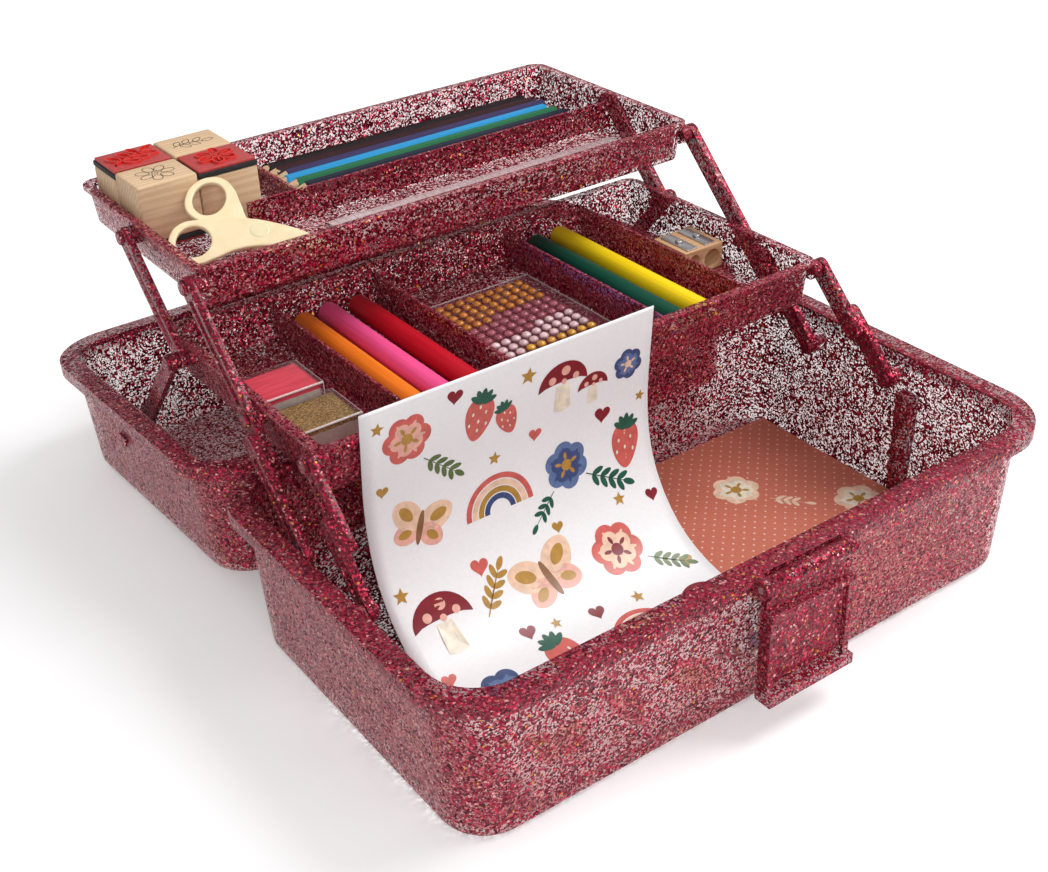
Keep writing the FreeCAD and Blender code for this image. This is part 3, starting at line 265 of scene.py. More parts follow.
def glitter_plastic(name, cover, fine, haze, clear, rim=None):
    """Clear plastic with one layer of flakes to each wall; between them it lets through
    all but a pink haze, which thickens in the rim and towards a glancing view. The glancing part is partly a
    painted sheen that stands in for the walls' reflection."""
    made, tree, shader, where = start_material(name)
    spread = add(tree, "Group", {"node_tree": flakes}, Cover=cover, Fine_cover=fine, Clear=(*clear, 1.0))
    if rim:
        upward, level = rim
        height = add(tree, "VectorMath", {"operation": "DOT_PRODUCT"}, i0=where, i1=upward).outputs["Value"]
        rim_foot, rim_full, rim_haze, deep_red = 0.0075, 0.0060, 0.68, (0.17, 0.022, 0.036, 1.0)
        thick = ranged(tree, height, 0.0, 1.0, start=level - rim_foot, end=level - rim_full)
        haze = ranged(tree, thick, haze, rim_haze)
        feed(tree, spread, Clear=blended(tree, thick, (*clear, 1.0), deep_red))
    # Partly painted sheen: the haze colour closes in towards a glancing view, in place of the reflection that
    # pales the walls there.
    glance = add(tree, "LayerWeight", Blend=0.30).outputs["Facing"]
    cover = sums(tree, "MAXIMUM", spread.outputs["Flake"], ranged(tree, glance, haze, 0.97))
    feed(tree, shader, Base_Color=spread.outputs["Color"], Roughness=spread.outputs["Roughness"],
         Metallic=spread.outputs["Metallic"], Normal=spread.outputs["Normal"],
         Alpha=front_only(tree, cover), Coat_Weight=0.06, Coat_Roughness=0.15, Specular_IOR_Level=0.22)
    return made


def eased(node, width, body, material, edge=None, turn=40.0):
    """A copy of a CAD node with its flat faces joined again and its edges rounded;
    the rounded edges may take a material of their own, which paints a highlight line along them."""
    made = bpy.data.objects.new("eased_" + node, bpy.data.meshes.new("eased_" + node))
    shape = bmesh.new()
    shape.from_mesh(cad_nodes[node].data)
    bmesh.ops.remove_doubles(shape, verts=shape.verts, dist=2e-6)
    bmesh.ops.dissolve_limit(shape, angle_limit=math.radians(1.0), verts=shape.verts, edges=shape.edges)
    shape.to_mesh(made.data)
    shape.free()
    made.data.shade_smooth()
    made.data.materials.append(material)
    scene.collection.objects.link(made)
    ease = made.modifiers.new("eased_edges", "BEVEL")
    ease.width = width
    ease.segments = 2
    ease.limit_method = "ANGLE"
    ease.angle_limit = math.radians(turn)
    ease.harden_normals = True
    if edge is not None:
        made.data.materials.append(edge)
        ease.material = 1
    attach(made, body)
    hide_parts(node)
    return made


def dress(material, *names):
    """Give CAD nodes one material in every slot they have."""
    for name in names:
        mesh = cad_nodes[name].data
        mesh.materials.clear()
        mesh.materials.append(material)


wall_edge = 0.0008
tub_tint = (0.60, 0.195, 0.205)
tub_red = glitter_plastic("tub_red_glitter", cover=0.56, fine=0.36, haze=0.36, clear=tub_tint,
                          rim=((0.0, 0.0, 1.0), 0.077))
# Painted highlight: the rounded edges get a nearly opaque band of their own, partly the thick plastic seen
# edge-on and partly painted light lines.
edge_highlight_red = glitter_plastic("edge_highlight_glitter", cover=0.20, fine=0.20, haze=0.92, clear=(0.30, 0.062, 0.090))
post_red = glitter_plastic("post_red_glitter", cover=0.70, fine=0.50, haze=0.80, clear=(0.20, 0.02, 0.04))
tub = eased("base_tub", wall_edge, "base", tub_red, edge_highlight_red)
tub.data.materials.append(post_red)
post_low, post_high = np.array([0.1483, -0.0252, 0.0]), np.array([0.160, -0.0148, 0.0592])
for face in tub.data.polygons:
    corners = np.abs([tub.data.vertices[k].co for k in face.vertices]) * [1.0, -1.0, 1.0]
    if np.all((corners > post_low) & (corners < post_high)):
        face.material_index = 2


# Lid: the shallow half, of the same glitter plastic, hung on two steel pins
# through moulded knuckles. It lies open on the table behind the base.
def mottled(tree, value, dark, pale, spread=0.2):
    """Two close colours by a noise value, with a soft change about its middle."""
    return shades(tree, value, ((0.5 - spread, dark), (0.5 + spread, pale)))


def streaks(tree, where, scale, detail, turn=(0.0, 0.0, 0.0)):
    """Noise drawn out along an axis: each axis has its own scale."""
    where = add(tree, "Mapping", Vector=where, Rotation=turn, Scale=scale).outputs[0]
    return noise(tree, where, 1.0, detail)


def steel(name, grain):
    """Rolled steel: fine scratches along one axis change its roughness a little."""
    made, tree, shader, where = start_material(name)
    lines = streaks(tree, where, grain, 4.0)
    feed(tree, shader, Base_Color=mottled(tree, lines, (0.46, 0.46, 0.47), (0.66, 0.66, 0.67)),
         Roughness=ranged(tree, lines, 0.22, 0.42), Metallic=1.0)
    return made


lid_lean = math.radians(4.434)
lid_red = glitter_plastic("lid_red_glitter", cover=0.56, fine=0.36, haze=0.32, clear=tub_tint,
                          rim=((0.0, math.sin(lid_lean), math.cos(lid_lean)), 0.0845))
eased("lid_shell", wall_edge, "lid", lid_red, edge_highlight_red)
pin_steel = steel("pin_steel", (120.0, 2600.0, 2600.0))
dress(pin_steel, "hinge_pins", "latch_pin")


# Trays: two shallow mouldings with their dividers in one piece, in the same
# plastic with a little more glitter, and a rolled lip round the rim.
thin_edge = 0.0006
tray_red = glitter_plastic("tray_red_glitter", cover=0.58, fine=0.38, haze=0.30, clear=(0.46, 0.115, 0.135))
for node in ("middle_tray", "upper_tray"):
    eased(node, thin_edge, node, tray_red, edge_highlight_red)


# Folding arms, lid links and their snap rivets: moulded strips of the same
# plastic, so full of flakes that they look solid. Their edges are eased, with painted highlight lines along
# them.
arm_red = glitter_plastic("arm_red_glitter", cover=0.56, fine=0.36, haze=0.90, clear=(0.105, 0.008, 0.018))
for side in ("left", "right"):
    for kind, body in (("long_arm", "long_arms"), ("front_arm", "front_arms"),
                       ("rear_arm", "rear_arms"), ("lid_link", "lid_links")):
        eased(f"{kind}_{side}", thin_edge, body, arm_red, edge_highlight_red)
dress(arm_red, "base_rivets", "middle_rivets", "upper_rivets", "lid_studs")


# Latch: a flap of the same plastic that hangs from a pin on the front flange,
# with a hooked bead that grips the lid and a broad lip for the thumb.
latch_red = glitter_plastic("latch_red_glitter", cover=0.62, fine=0.40, haze=0.50, clear=(0.26, 0.035, 0.055))
eased("latch_flap", 0.0007, "latch", latch_red, edge_highlight_red)


# Stamps: beech blocks with a black foam pad and a red rubber plate glued on.
# Two lie with the plate up; the others show a line print on the wood.
def wood_grain():
    """Growth rings as the sine of the distance from a far heart line, stirred by noise
    drawn out along X, with short dark pores in the same direction."""
    tree, given, put = group_tree("wood_grain", {"Vector": "Vector", "Pale": "Color", "Dark": "Color"},
                                  {"Color": "Color", "Height": "Float"})
    where = given["Vector"]
    stir = streaks(tree, where, (18.0, 240.0, 240.0), 3.0)
    heart = add(tree, "Mapping", Vector=where, Location=(0.0, 0.013, -0.009), Scale=(0.06, 1.0, 1.0))
    away = add(tree, "VectorMath", {"operation": "LENGTH"}, i0=heart.outputs[0]).outputs["Value"]
    rings = sums(tree, "SINE", sums(tree, "ADD", sums(tree, "MULTIPLY", away, 2600.0),
                                    sums(tree, "MULTIPLY", stir, 9.0)))
    rings = ranged(tree, rings, 0.0, 0.45, start=-1.0, end=1.0)
    pores = add(tree, "Mapping", Vector=where, Scale=(260.0, 1500.0, 1500.0)).outputs[0]
    pores = add(tree, "TexVoronoi", Vector=pores, Scale=1.0).outputs["Distance"]
    pores = ranged(tree, pores, 0.35, 0.0, start=0.10, end=0.24)
    mix = sums(tree, "ADD", sums(tree, "ADD", rings, sums(tree, "MULTIPLY", stir, 0.55)), pores)
    tree.links.new(blended(tree, mix, given["Pale"], given["Dark"]), put["Color"])
    tree.links.new(mix, put["Height"])
    return tree


grain = wood_grain()


def bare_wood(name, pale, dark):
    """Sanded wood: the grain gives its colour and a very low bump."""
    made, tree, shader, where = start_material(name)
    lines = add(tree, "Group", {"node_tree": grain}, Vector=where, Pale=(*pale, 1.0), Dark=(*dark, 1.0))
    bump = add(tree, "Bump", Strength=0.12, Distance=0.0002, Height=lines.outputs["Height"])
    feed(tree, shader, Base_Color=lines.outputs["Color"], Normal=bump.outputs[0],
         Roughness=ranged(tree, lines.outputs["Height"], 0.5, 0.7))
    return made


def speckled(name, dark, pale, scale, rough, bump=0.1, **rest):
    """A plain moulded or foamed surface: two close colours in fine noise, with its bump."""
    made, tree, shader, where = start_material(name)
    spots = noise(tree, where, scale, 4.0)
    dents = add(tree, "Bump", Strength=bump, Distance=0.0003, Height=spots)
    feed(tree, shader, Base_Color=mottled(tree, spots, dark, pale, 0.18), Normal=dents.outputs[0],
         Roughness=ranged(tree, spots, rough - 0.06, rough + 0.06), **rest)
    return made


def petal(length, width, turn, start=0.0, count=28):
    """A pointed oval: half width is the sine of the way along, laid out at an angle."""
    t = np.linspace(0.0, 2 * np.pi, count, endpoint=False)
    along = start + length * (0.5 - 0.5 * np.cos(t))
    across = width / 2 * np.sin(t) * np.abs(np.sin(t)) ** 0.15
    c, s = np.cos(turn), np.sin(turn)
    return np.column_stack([along * c - across * s, along * s + across * c])


def disc(radius, x=0.0, y=0.0, count=24, squeeze=1.0):
    """A circle, or an ellipse where it is squeezed in Y."""
    t = np.linspace(0.0, 2 * np.pi, count, endpoint=False)
    return np.column_stack([x + radius * np.cos(t), y + radius * squeeze * np.sin(t)])


def woven(rows, columns, around=False, flip=False):
    """Quads between neighbouring rows of points, closed into rings where they go around."""
    row, column = np.meshgrid(np.arange(rows - 1), np.arange(columns - (not around)), indexing="ij")
    start, after = row * columns + column, row * columns + (column + 1) % columns
    quads = np.stack([start, after, after + columns, start + columns], axis=-1).reshape(-1, 4)
    return quads[:, [0, 3, 2, 1]] if flip else quads


def ridge(path, width, height=0.0):
    """A line of constant width: each point of the path is moved to both sides. With a
    height it has a flat crown half as wide as its foot."""
    path = np.asarray(path)
    way = np.gradient(path, axis=0)
    way /= np.linalg.norm(way, axis=1, keepdims=True)
    side = np.column_stack([-way[:, 1], way[:, 0]]) * width / 2
    shares, levels = ((-1, -0.5, 0.5, 1), (0, 1, 1, 0)) if height else ((-1, 1), (0, 0))
    flat = np.stack([path + share * side for share in shares], axis=1)
    z = np.broadcast_to(np.array(levels) * height, flat.shape[:2])
    return np.dstack([flat, z]).reshape(-1, 3), woven(len(path), len(shares), flip=True)


def gathered(parts):
    """Several (points, faces) pairs as one."""
    starts = np.cumsum([0] + [len(points) for points, _ in parts[:-1]])
    return (np.concatenate([points for points, _ in parts]),
            np.concatenate([faces + start for (_, faces), start in zip(parts, starts)]))


beech = bare_wood("beech", (0.80, 0.58, 0.38), (0.58, 0.37, 0.20))
foam = speckled("stamp_foam", (0.008, 0.008, 0.009), (0.03, 0.03, 0.032), 1400.0, 0.8, 0.4)
plate_red = speckled("stamp_plate", (0.40, 0.035, 0.035), (0.50, 0.055, 0.052), 500.0, 0.5)
relief_red = speckled("stamp_relief", (0.58, 0.012, 0.008), (0.70, 0.022, 0.014), 700.0, 0.36)
print_ink = speckled("stamp_print", (0.02, 0.02, 0.022), (0.06, 0.055, 0.05), 1600.0, 0.6)
for k in (1, 2, 3, 4):
    eased(f"stamp_block_{k}", 0.0013, "upper_tray", beech)
    eased(f"stamp_foam_{k}", 0.0003, "upper_tray", foam)
    eased(f"stamp_rubber_{k}", 0.0003, "upper_tray", plate_red)
mm = 0.001
t = np.linspace(0.0, 1.0, 40)


def closed(outline):
    """The outline with its first two points again, so that a line along it has no gap."""
    return np.concatenate([outline, outline[:2]])


six_ways = np.linspace(0.3, 0.3 + 2 * np.pi, 6, endpoint=False)
flower = [closed(petal(7.6, 5.4, turn, 2.4)) for turn in six_ways]
flower += [petal(4.0, 0.8, turn, 3.4)[:14] for turn in six_ways]
flower += [closed(disc(2.1)), closed(disc(0.7))]
sprig = [closed(petal(8.2, 4.4, turn, 0.8)) + [x, y] for x, y, turn in (
    (-7.0, -3.4, 2.1), (-7.0, -3.4, -0.6), (-1.6, -1.6, 2.0), (-1.6, -1.6, -0.5), (3.6, 0.8, 1.9),
    (3.6, 0.8, -0.4), (5.0, 2.4, 0.7))]
sprig.append(np.column_stack([-11 + 16 * t, -6.2 + 8.6 * t ** 0.9]))
curl = np.column_stack([np.cos(t * 9.0) * (1 - 0.8 * t) * 2.3, np.sin(t * 9.0) * (1 - 0.8 * t) * 2.3])
twig = [np.column_stack([-11 + 16 * t, 2.0 * np.sin(t * 3.2) - 1.8])]
for at, turn in ((0.15, 1.1), (0.3, -1.0), (0.45, 1.0), (0.6, -0.9), (0.75, 0.8), (0.97, 0.1)):
    twig.append(closed(petal(6.0, 3.2, turn, 0.2)) + [-11 + 16 * at, 2.0 * np.sin(at * 3.2) - 1.8])
seven_ways = np.linspace(0.0, 2 * np.pi, 7, endpoint=False)
bloom = [curl] + [closed(petal(6.6, 4.6, turn, 2.8)) for turn in seven_ways]


def finished(made, material, body):
    """A new piece gets its material and the body it rides on."""
    made.data.materials.append(material)
    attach(made, body)


def line_work(name, motif, carrier, lift, width, height, material):
    """The lines of a motif as one piece, laid on the middle of the top of a node."""
    low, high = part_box(carrier)
    middle = ((low.x + high.x) / 2, (low.y + high.y) / 2, high.z + lift)
    points, faces = gathered([ridge(path * mm, width, height) for path in motif])
    finished(mesh_piece(name, points + middle, faces), material, "upper_tray")


relief_width, print_width = 0.0012, 0.00042
for k, motif in ((1, sprig), (4, flower)):
    line_work(f"stamp_relief_{k}", motif, f"stamp_rubber_{k}", -0.00002, relief_width, relief_width,
              relief_red)
for k, motif in ((2, twig), (3, bloom)):
    line_work(f"stamp_print_{k}", motif, f"stamp_block_{k}", 0.00004, print_width, 0.0,
              print_ink)


# Scissors: a child's pair moulded whole in cream plastic, with soft edges and
# a flat button at the pivot. They lean on the stamps.
cream = speckled("scissors_cream", (0.83, 0.68, 0.42), (0.89, 0.75, 0.49), 160.0, 0.42, 0.04,
                 Subsurface_Weight=0.15, Subsurface_Scale=0.002)
nose = Vector((0.743, -0.628, -0.232)).normalized()
lean = Vector((-0.22, -0.38, 0.90))
lean = (lean - lean.dot(nose) * nose).normalized()
across = lean.cross(nose)
pivot = Vector((-0.0920, 0.16347, 0.15213))
in_place = Matrix.Translation(pivot) @ Matrix((nose, across, lean)).transposed().to_4x4()


def moulded_half(node, outline, hole, level):
    """One half: a flat curve through the outline points with an oval finger hole, as thick
    as the CAD half and with round edges, laid in the plane of the scissors."""
    drawn = bpy.data.curves.new(node, "CURVE")
    drawn.dimensions = "2D"
    drawn.fill_mode = "BOTH"
    half_flat, round_edge = 0.0005, 0.0008
    drawn.extrude, drawn.bevel_depth, drawn.offset = half_flat, round_edge, -round_edge
    drawn.bevel_resolution = 3
    for path in (outline, disc(1.0, count=12) * hole[1] + hole[0]):
        line = drawn.splines.new("BEZIER")
        line.bezier_points.add(len(path) - 1)
        line.use_cyclic_u = True
        for point, (x, y) in zip(line.bezier_points, path):
            point.co = (x * mm, y * mm, 0.0)
            point.handle_left_type = point.handle_right_type = "AUTO"
    holder = bpy.data.objects.new(node, drawn)
    mesh = bpy.data.meshes.new_from_object(holder)
    bpy.data.objects.remove(holder)
    mesh.transform(in_place @ Matrix.Translation((0.0, 0.0, level)))
    mesh.shade_smooth()
    mesh.set_sharp_from_angle(angle=math.radians(50.0))
    mesh.materials.clear()
    mesh.materials.append(cream)
    made = bpy.data.objects.new("moulded_" + node, mesh)
    scene.collection.objects.link(made)
    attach(made, "upper_tray")
    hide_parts(node)


def ringed(outline, shares):
    """The outline again and again towards its middle, one ring to each share."""
    middle = outline.mean(axis=0)
    return (middle + shares[:, None, None] * (outline - middle)[None]).reshape(-1, 2)


front_half = ((-29.0, -1.9), (-35.4, -6.2), (-38.0, -14.0), (-35.4, -22.2), (-29.0, -26.9), (-22.0, -26.4),
              (-15.0, -20.8), (-7.0, -13.4), (3.5, -8.3), (20.0, -4.9), (35.4, -2.0), (36.4, -0.6),
              (30.0, 2.4), (20.0, 5.0), (8.0, 6.2), (-6.6, 5.4), (-18.0, 1.6))
back_half = ((-28.5, 0.0), (-35.4, 4.2), (-38.0, 12.0), (-36.4, 20.4), (-31.0, 26.2), (-24.5, 27.4),
             (-18.6, 23.6), (-12.5, 14.8), (-6.6, 6.6), (0.0, 4.4), (12.0, 2.6), (34.0, -1.6), (34.6, -2.8),
             (20.0, -6.0), (4.0, -9.6), (-4.0, -8.0), (-13.0, -2.4), (-21.0, -0.8))
moulded_half("scissors_lower", front_half, np.array([(-26.8, -14.4), (7.8, 9.0)]), 0.0013)
moulded_half("scissors_upper", back_half, np.array([(-27.3, 13.7), (7.4, 9.8)]), -0.0014)
button_points, button_level, button_height = 40, 0.00258, 0.00028
flat = ringed(disc(4.6, count=button_points) * mm, np.array([1.0, 0.86, 0.45, 0.0]))
rise = np.repeat([0.0, 1.0, 1.06, 1.08], button_points) * button_height
faces = woven(4, button_points, around=True).tolist() + [list(range(button_points))[::-1]]
button = mesh_piece("scissors_button", np.column_stack([flat, rise + button_level]), faces)
button.data.transform(in_place)
button.data.materials.append(cream)
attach(button, "upper_tray")
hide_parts("scissors_rivet")


# Thin pencils: six-sided, painted in one colour, with the bare wood and the
# coloured lead showing at the sharpened end on the left.
def tones(colour, down, up, lift=0.0):
    """A darker and a paler tone of a colour."""
    return tuple(down * c for c in colour), tuple(min(1.0, up * c + lift) for c in colour)


def pencil_paint(name, colour, axis, edge, lead):
    """Paint up to a wavy edge on one axis, bare wood past it and lead at the very tip."""
    made, tree, shader, where = start_material(name)
    along = sums(tree, "SUBTRACT", edge, add(tree, "SeparateXYZ", Vector=where).outputs[axis])
    wave = sums(tree, "MULTIPLY", sums(tree, "SUBTRACT", noise(tree, where, 420.0, 1.0), 0.5), 0.004)
    bare = sums(tree, "GREATER_THAN", sums(tree, "ADD", along, wave), 0.0)
    tip = sums(tree, "GREATER_THAN", along, lead)
    streak = (14.0, 900.0, 900.0) if axis == "X" else (900.0, 14.0, 900.0)
    lines = streaks(tree, where, streak, 3.0)
    dark, pale = tones(colour, 0.90, 1.10, 0.004)
    wood = mottled(tree, lines, (0.50, 0.32, 0.17), (0.72, 0.52, 0.33))
    wood = blended(tree, tip, wood, (*dark, 1.0))
    bump = add(tree, "Bump", Strength=0.04, Distance=0.0002, Height=lines)
    coat = sums(tree, "MULTIPLY", sums(tree, "SUBTRACT", 1.0, bare), 0.03)
    feed(tree, shader, Base_Color=blended(tree, bare, mottled(tree, lines, dark, pale), wood),
         Roughness=ranged(tree, bare, 0.46, 0.65), Normal=bump.outputs[0], Coat_Weight=coat,
         Coat_Roughness=0.25, Specular_IOR_Level=0.16)
    return made


for k, colour in enumerate(((0.008, 0.006, 0.007), (0.030, 0.010, 0.013), (0.040, 0.034, 0.110),
                            (0.022, 0.310, 0.640), (0.014, 0.150, 0.060), (0.008, 0.014, 0.034)), start=1):
    low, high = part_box(f"thin_pencil_{k}")
    dress(pencil_paint(f"thin_paint_{k}", colour, "X", low.x + 0.0085, 0.0066),
          f"thin_pencil_{k}")


# Ruler: a strip of clear plastic with printed millimetre marks along both
# edges. It lies loose on the floor of the upper tray.
low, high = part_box("ruler")
ruler_clear, tree, shader, where = start_material("ruler_clear")
split = add(tree, "SeparateXYZ", Vector=where).outputs
first_mark, plain_margin, per_metre = low.x + 0.004, 0.0006, 1000.0
step = sums(tree, "MULTIPLY", sums(tree, "SUBTRACT", split["X"], first_mark), per_metre)
edge = sums(tree, "MINIMUM", sums(tree, "SUBTRACT", split["Y"], low.y),
            sums(tree, "SUBTRACT", high.y, split["Y"]))
marks = []
for pitch, reach, width in ((1.0, 0.0032, 0.16), (5.0, 0.0045, 0.2), (10.0, 0.0062, 0.24)):
    part = sums(tree, "ABSOLUTE", sums(tree, "SUBTRACT", sums(tree, "FRACT", sums(
        tree, "ADD", sums(tree, "DIVIDE", step, pitch), 0.5)), 0.5))
    near = sums(tree, "LESS_THAN", part, width / 2 / pitch)
    marks.append(sums(tree, "MULTIPLY", near, sums(tree, "LESS_THAN", edge, reach)))
mark = sums(tree, "MAXIMUM", sums(tree, "MAXIMUM", marks[0], marks[1]), marks[2])
mark = sums(tree, "MULTIPLY", mark, sums(tree, "GREATER_THAN", edge, plain_margin))
haze = noise(tree, where, 120.0, 2.0)
body_colour = mottled(tree, haze, (0.66, 0.50, 0.51), (0.74, 0.59, 0.60))
colour = blended(tree, mark, body_colour, (0.10, 0.06, 0.07, 1.0))
feed(tree, shader, Base_Color=colour, Roughness=0.16, Alpha=front_only(tree, ranged(tree, mark, 0.76, 0.95)),
     Coat_Weight=0.3)
eased("ruler", 0.0006, "upper_tray", ruler_clear)


# Ink pads: a felt pad soaked with ink in a pale moulded tray, shut in a clear
# hard case with a lid. The eased edges of the case are painted as a paler frame, a painted highlight along
# them.
def clear_case(name, tint, haze, rough):
    """Clear hard plastic: faint from the front and closed at a glancing view."""
    made, tree, shader, where = start_material(name)
    colour = mottled(tree, noise(tree, where, 300.0, 3.0), *tones(tint, 1.0, 1.08), spread=0.15)
    glance = add(tree, "LayerWeight", Blend=0.30).outputs["Fresnel"]
    feed(tree, shader, Base_Color=colour, Roughness=rough,
         Alpha=front_only(tree, ranged(tree, glance, haze, 0.95)), Coat_Weight=0.5, Coat_Roughness=0.05)
    return made


case_clear = clear_case("case_clear", (0.30, 0.25, 0.25), 0.02, 0.10)
# Painted highlight: a paler, more solid material for the eased edges of the case.
clear_edge_highlight = clear_case("clear_edge_highlight", (0.56, 0.47, 0.46), 0.72, 0.16)
for k in (1, 2):
    eased(f"ink_case_{k}", 0.0008, "middle_tray", case_clear, clear_edge_highlight)


def over_tray(tree, where, ink, depth):
    """Ink above a level and the pale moulded tray of the pad below it."""
    tray = mottled(tree, noise(tree, where, 260.0, 2.0), (0.50, 0.40, 0.35), (0.60, 0.50, 0.44))
    inked = sums(tree, "GREATER_THAN", add(tree, "SeparateXYZ", Vector=where).outputs["Z"], depth)
    return blended(tree, inked, tray, ink)


low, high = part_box("ink_pad_1")
inked_down_to = high.z - 0.0022
felt_red, tree, shader, where = start_material("ink_felt_red")
rubbed = streaks(tree, where, (60.0, 700.0, 300.0), 4.0, (0.0, 0.0, 0.5))
ink = mottled(tree, rubbed, (0.60, 0.022, 0.050), (0.82, 0.060, 0.105))
bump = add(tree, "Bump", Strength=0.25, Distance=0.0004, Height=rubbed)
feed(tree, shader, Base_Color=over_tray(tree, where, ink, inked_down_to), Roughness=0.62,
     Normal=bump.outputs[0])
felt_gold, tree, shader, where = start_material("ink_felt_gold")
cells = add(tree, "TexVoronoi", Vector=where, Scale=1900.0)
parts = add(tree, "SeparateColor", Color=cells.outputs["Color"]).outputs
ink = shades(tree, parts["Red"], ((0.0, (0.13, 0.065, 0.014)), (0.5, (0.30, 0.165, 0.040)),
                                  (0.85, (0.48, 0.29, 0.09)), (1.0, (0.62, 0.42, 0.20))))
feed(tree, shader, Base_Color=over_tray(tree, where, ink, inked_down_to), Roughness=0.42,
     Metallic=ranged(tree, parts["Green"], 0.1, 0.7))
dress(felt_red, "ink_pad_1")
dress(felt_gold, "ink_pad_2")


# Thick pencils: round, painted, cut square at the back end and sharpened at
# the front. They lie loose in two bays of the middle tray.
for k, colour in enumerate(((0.86, 0.195, 0.012), (0.86, 0.085, 0.270), (0.52, 0.004, 0.016),
                            (0.030, 0.065, 0.290), (0.002, 0.064, 0.036), (0.95, 0.660, 0.006)), start=1):
    low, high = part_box(f"thick_pencil_{k}")
    paint = pencil_paint(f"thick_paint_{k}", colour, "Y", low.y + 0.0055, 0.0035)
    eased(f"thick_pencil_{k}", 0.0014, "middle_tray", paint, turn=60.0)


# Gem pack: a thin clear card with rows of stick-on gems under a loose film.
# Rows change from amber at the back to pink, pearl and gold in front.
def gem_domes(places, radius, height, count=9):
    """Half domes: three rings shrink as the cosine of the height angle, with a cap point
    and a flat base."""
    turn = np.linspace(0.0, 2 * np.pi, count, endpoint=False)
    lift = np.array([0.0, 0.5, 1.0]) * 1.2
    ring = np.stack([np.outer(np.cos(lift), np.cos(turn)) * radius,
                     np.outer(np.cos(lift), np.sin(turn)) * radius,
                     np.broadcast_to((np.sin(lift) * height)[:, None], (3, count))], axis=-1)
    one = np.concatenate([ring.reshape(-1, 3), [[0.0, 0.0, height]]])
    last = 2 * count + np.arange(count)
    cap = np.column_stack([last, np.roll(last, -1), np.full(count, 3 * count)])
    points = (np.asarray(places)[:, None] + one[None]).reshape(-1, 3)
    steps = np.arange(len(places))[:, None, None] * len(one)
    kinds = (woven(3, count, around=True), cap, np.arange(count)[None, ::-1])
    return points, [face for kind in kinds for face in (kind + steps).reshape(-1, kind.shape[1]).tolist()]


low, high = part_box("gem_pack")
pitch, side_margins, end_margins, first_row = 0.0060, 0.012, 0.010, 0.0065
columns = np.arange(int((high.x - low.x - side_margins) / pitch))
rows = np.arange(int((high.y - low.y - end_margins) / pitch))
across, back = np.meshgrid(columns, rows, indexing="xy")
spots = np.column_stack([(low.x + high.x) / 2 + (across.ravel() - columns.mean()) * pitch,
                         high.y - first_row - back.ravel() * pitch,
                         np.full(across.size, high.z)])
band = np.digitize(back.ravel() + 0.15 * across.ravel(), [4.6, 7.8, 10.4])
gem_looks = (("amber", (0.62, 0.20, 0.006), 0.76), ("pink", (0.52, 0.13, 0.18), 0.56),
             ("pearl", (0.84, 0.56, 0.58), 0.94), ("gold", (0.74, 0.36, 0.015), 0.92))
gem_radius, gem_height = 0.0026, 0.0019
for k, (name, tint, cover) in enumerate(gem_looks):
    gems = mesh_piece(f"gems_{name}", *gem_domes(spots[band == k], gem_radius, gem_height))
    gems.data.shade_smooth()
    look, tree, shader, where = start_material(f"gem_{name}")
    cloud = mottled(tree, noise(tree, where, 420.0, 1.0), *tones(tint, 0.72, 1.25))
    feed(tree, shader, Base_Color=cloud, Roughness=0.16, Alpha=cover, Coat_Weight=0.5, Coat_Roughness=0.03)
    finished(gems, look, "middle_tray")
pack_clear = clear_case("pack_clear", (0.20, 0.060, 0.08), 0.06, 0.14)
dress(pack_clear, "gem_pack")
film_clear = clear_case("film_clear", (0.22, 0.12, 0.14), 0.0, 0.06)
u, v = np.meshgrid(np.linspace(low.x, high.x, 40), np.linspace(low.y, high.y, 44), indexing="ij")
rim = np.minimum(np.minimum(u - low.x, high.x - u), np.minimum(v - low.y, high.y - v))
film_rise, wave_height, tuck, film_gap = 0.0021, 0.0005, 0.005, 0.0001
waves = wave_height * np.sin(u * 190.0 + 2.0 * np.sin(v * 70.0)) * np.sin(v * 130.0 + 1.0)
lift = (film_rise + waves) * np.clip(rim / tuck, 0.0, 1.0) ** 0.6 + film_gap
points = np.stack([u, v, high.z + lift], axis=-1).reshape(-1, 3)
film = mesh_piece("gem_film", points, woven(*u.shape, flip=True))
film.data.shade_smooth()
finished(film, film_clear, "middle_tray")
# The ridge round the film's edge, in the paler edge material, is a painted highlight line along it.
corners = np.array([(low.x, low.y), (high.x, low.y), (high.x, high.y), (low.x, high.y), (low.x, low.y)])
sides = [np.linspace(corners[k], corners[k + 1], 12) for k in range(4)]
seal_width, seal_height = 0.001, 0.0003
inwards = np.array([(0, 1), (-1, 0), (0, -1), (1, 0)]) * seal_width / 2
points, faces = gathered([ridge(side + way, seal_width, seal_height) for side, way in zip(sides, inwards)])
seal = mesh_piece("gem_film_seal", points + [0.0, 0.0, high.z + 0.0002], faces)
finished(seal, clear_edge_highlight, "middle_tray")


# Sharpener: a beech block with a small and a large tapered hole, two steel
# blades on top and a screw in each.
sharpener_beech = bare_wood("sharpener_beech", (0.64, 0.39, 0.215), (0.46, 0.26, 0.125))
eased("sharpener_body", 0.0014, "middle_tray", sharpener_beech, turn=50.0)
blade_steel = steel("blade_steel", (2600.0, 120.0, 2600.0))
eased("sharpener_blades", 0.0001, "middle_tray", blade_steel)
eased("sharpener_screws", 0.0003, "middle_tray", blade_steel)


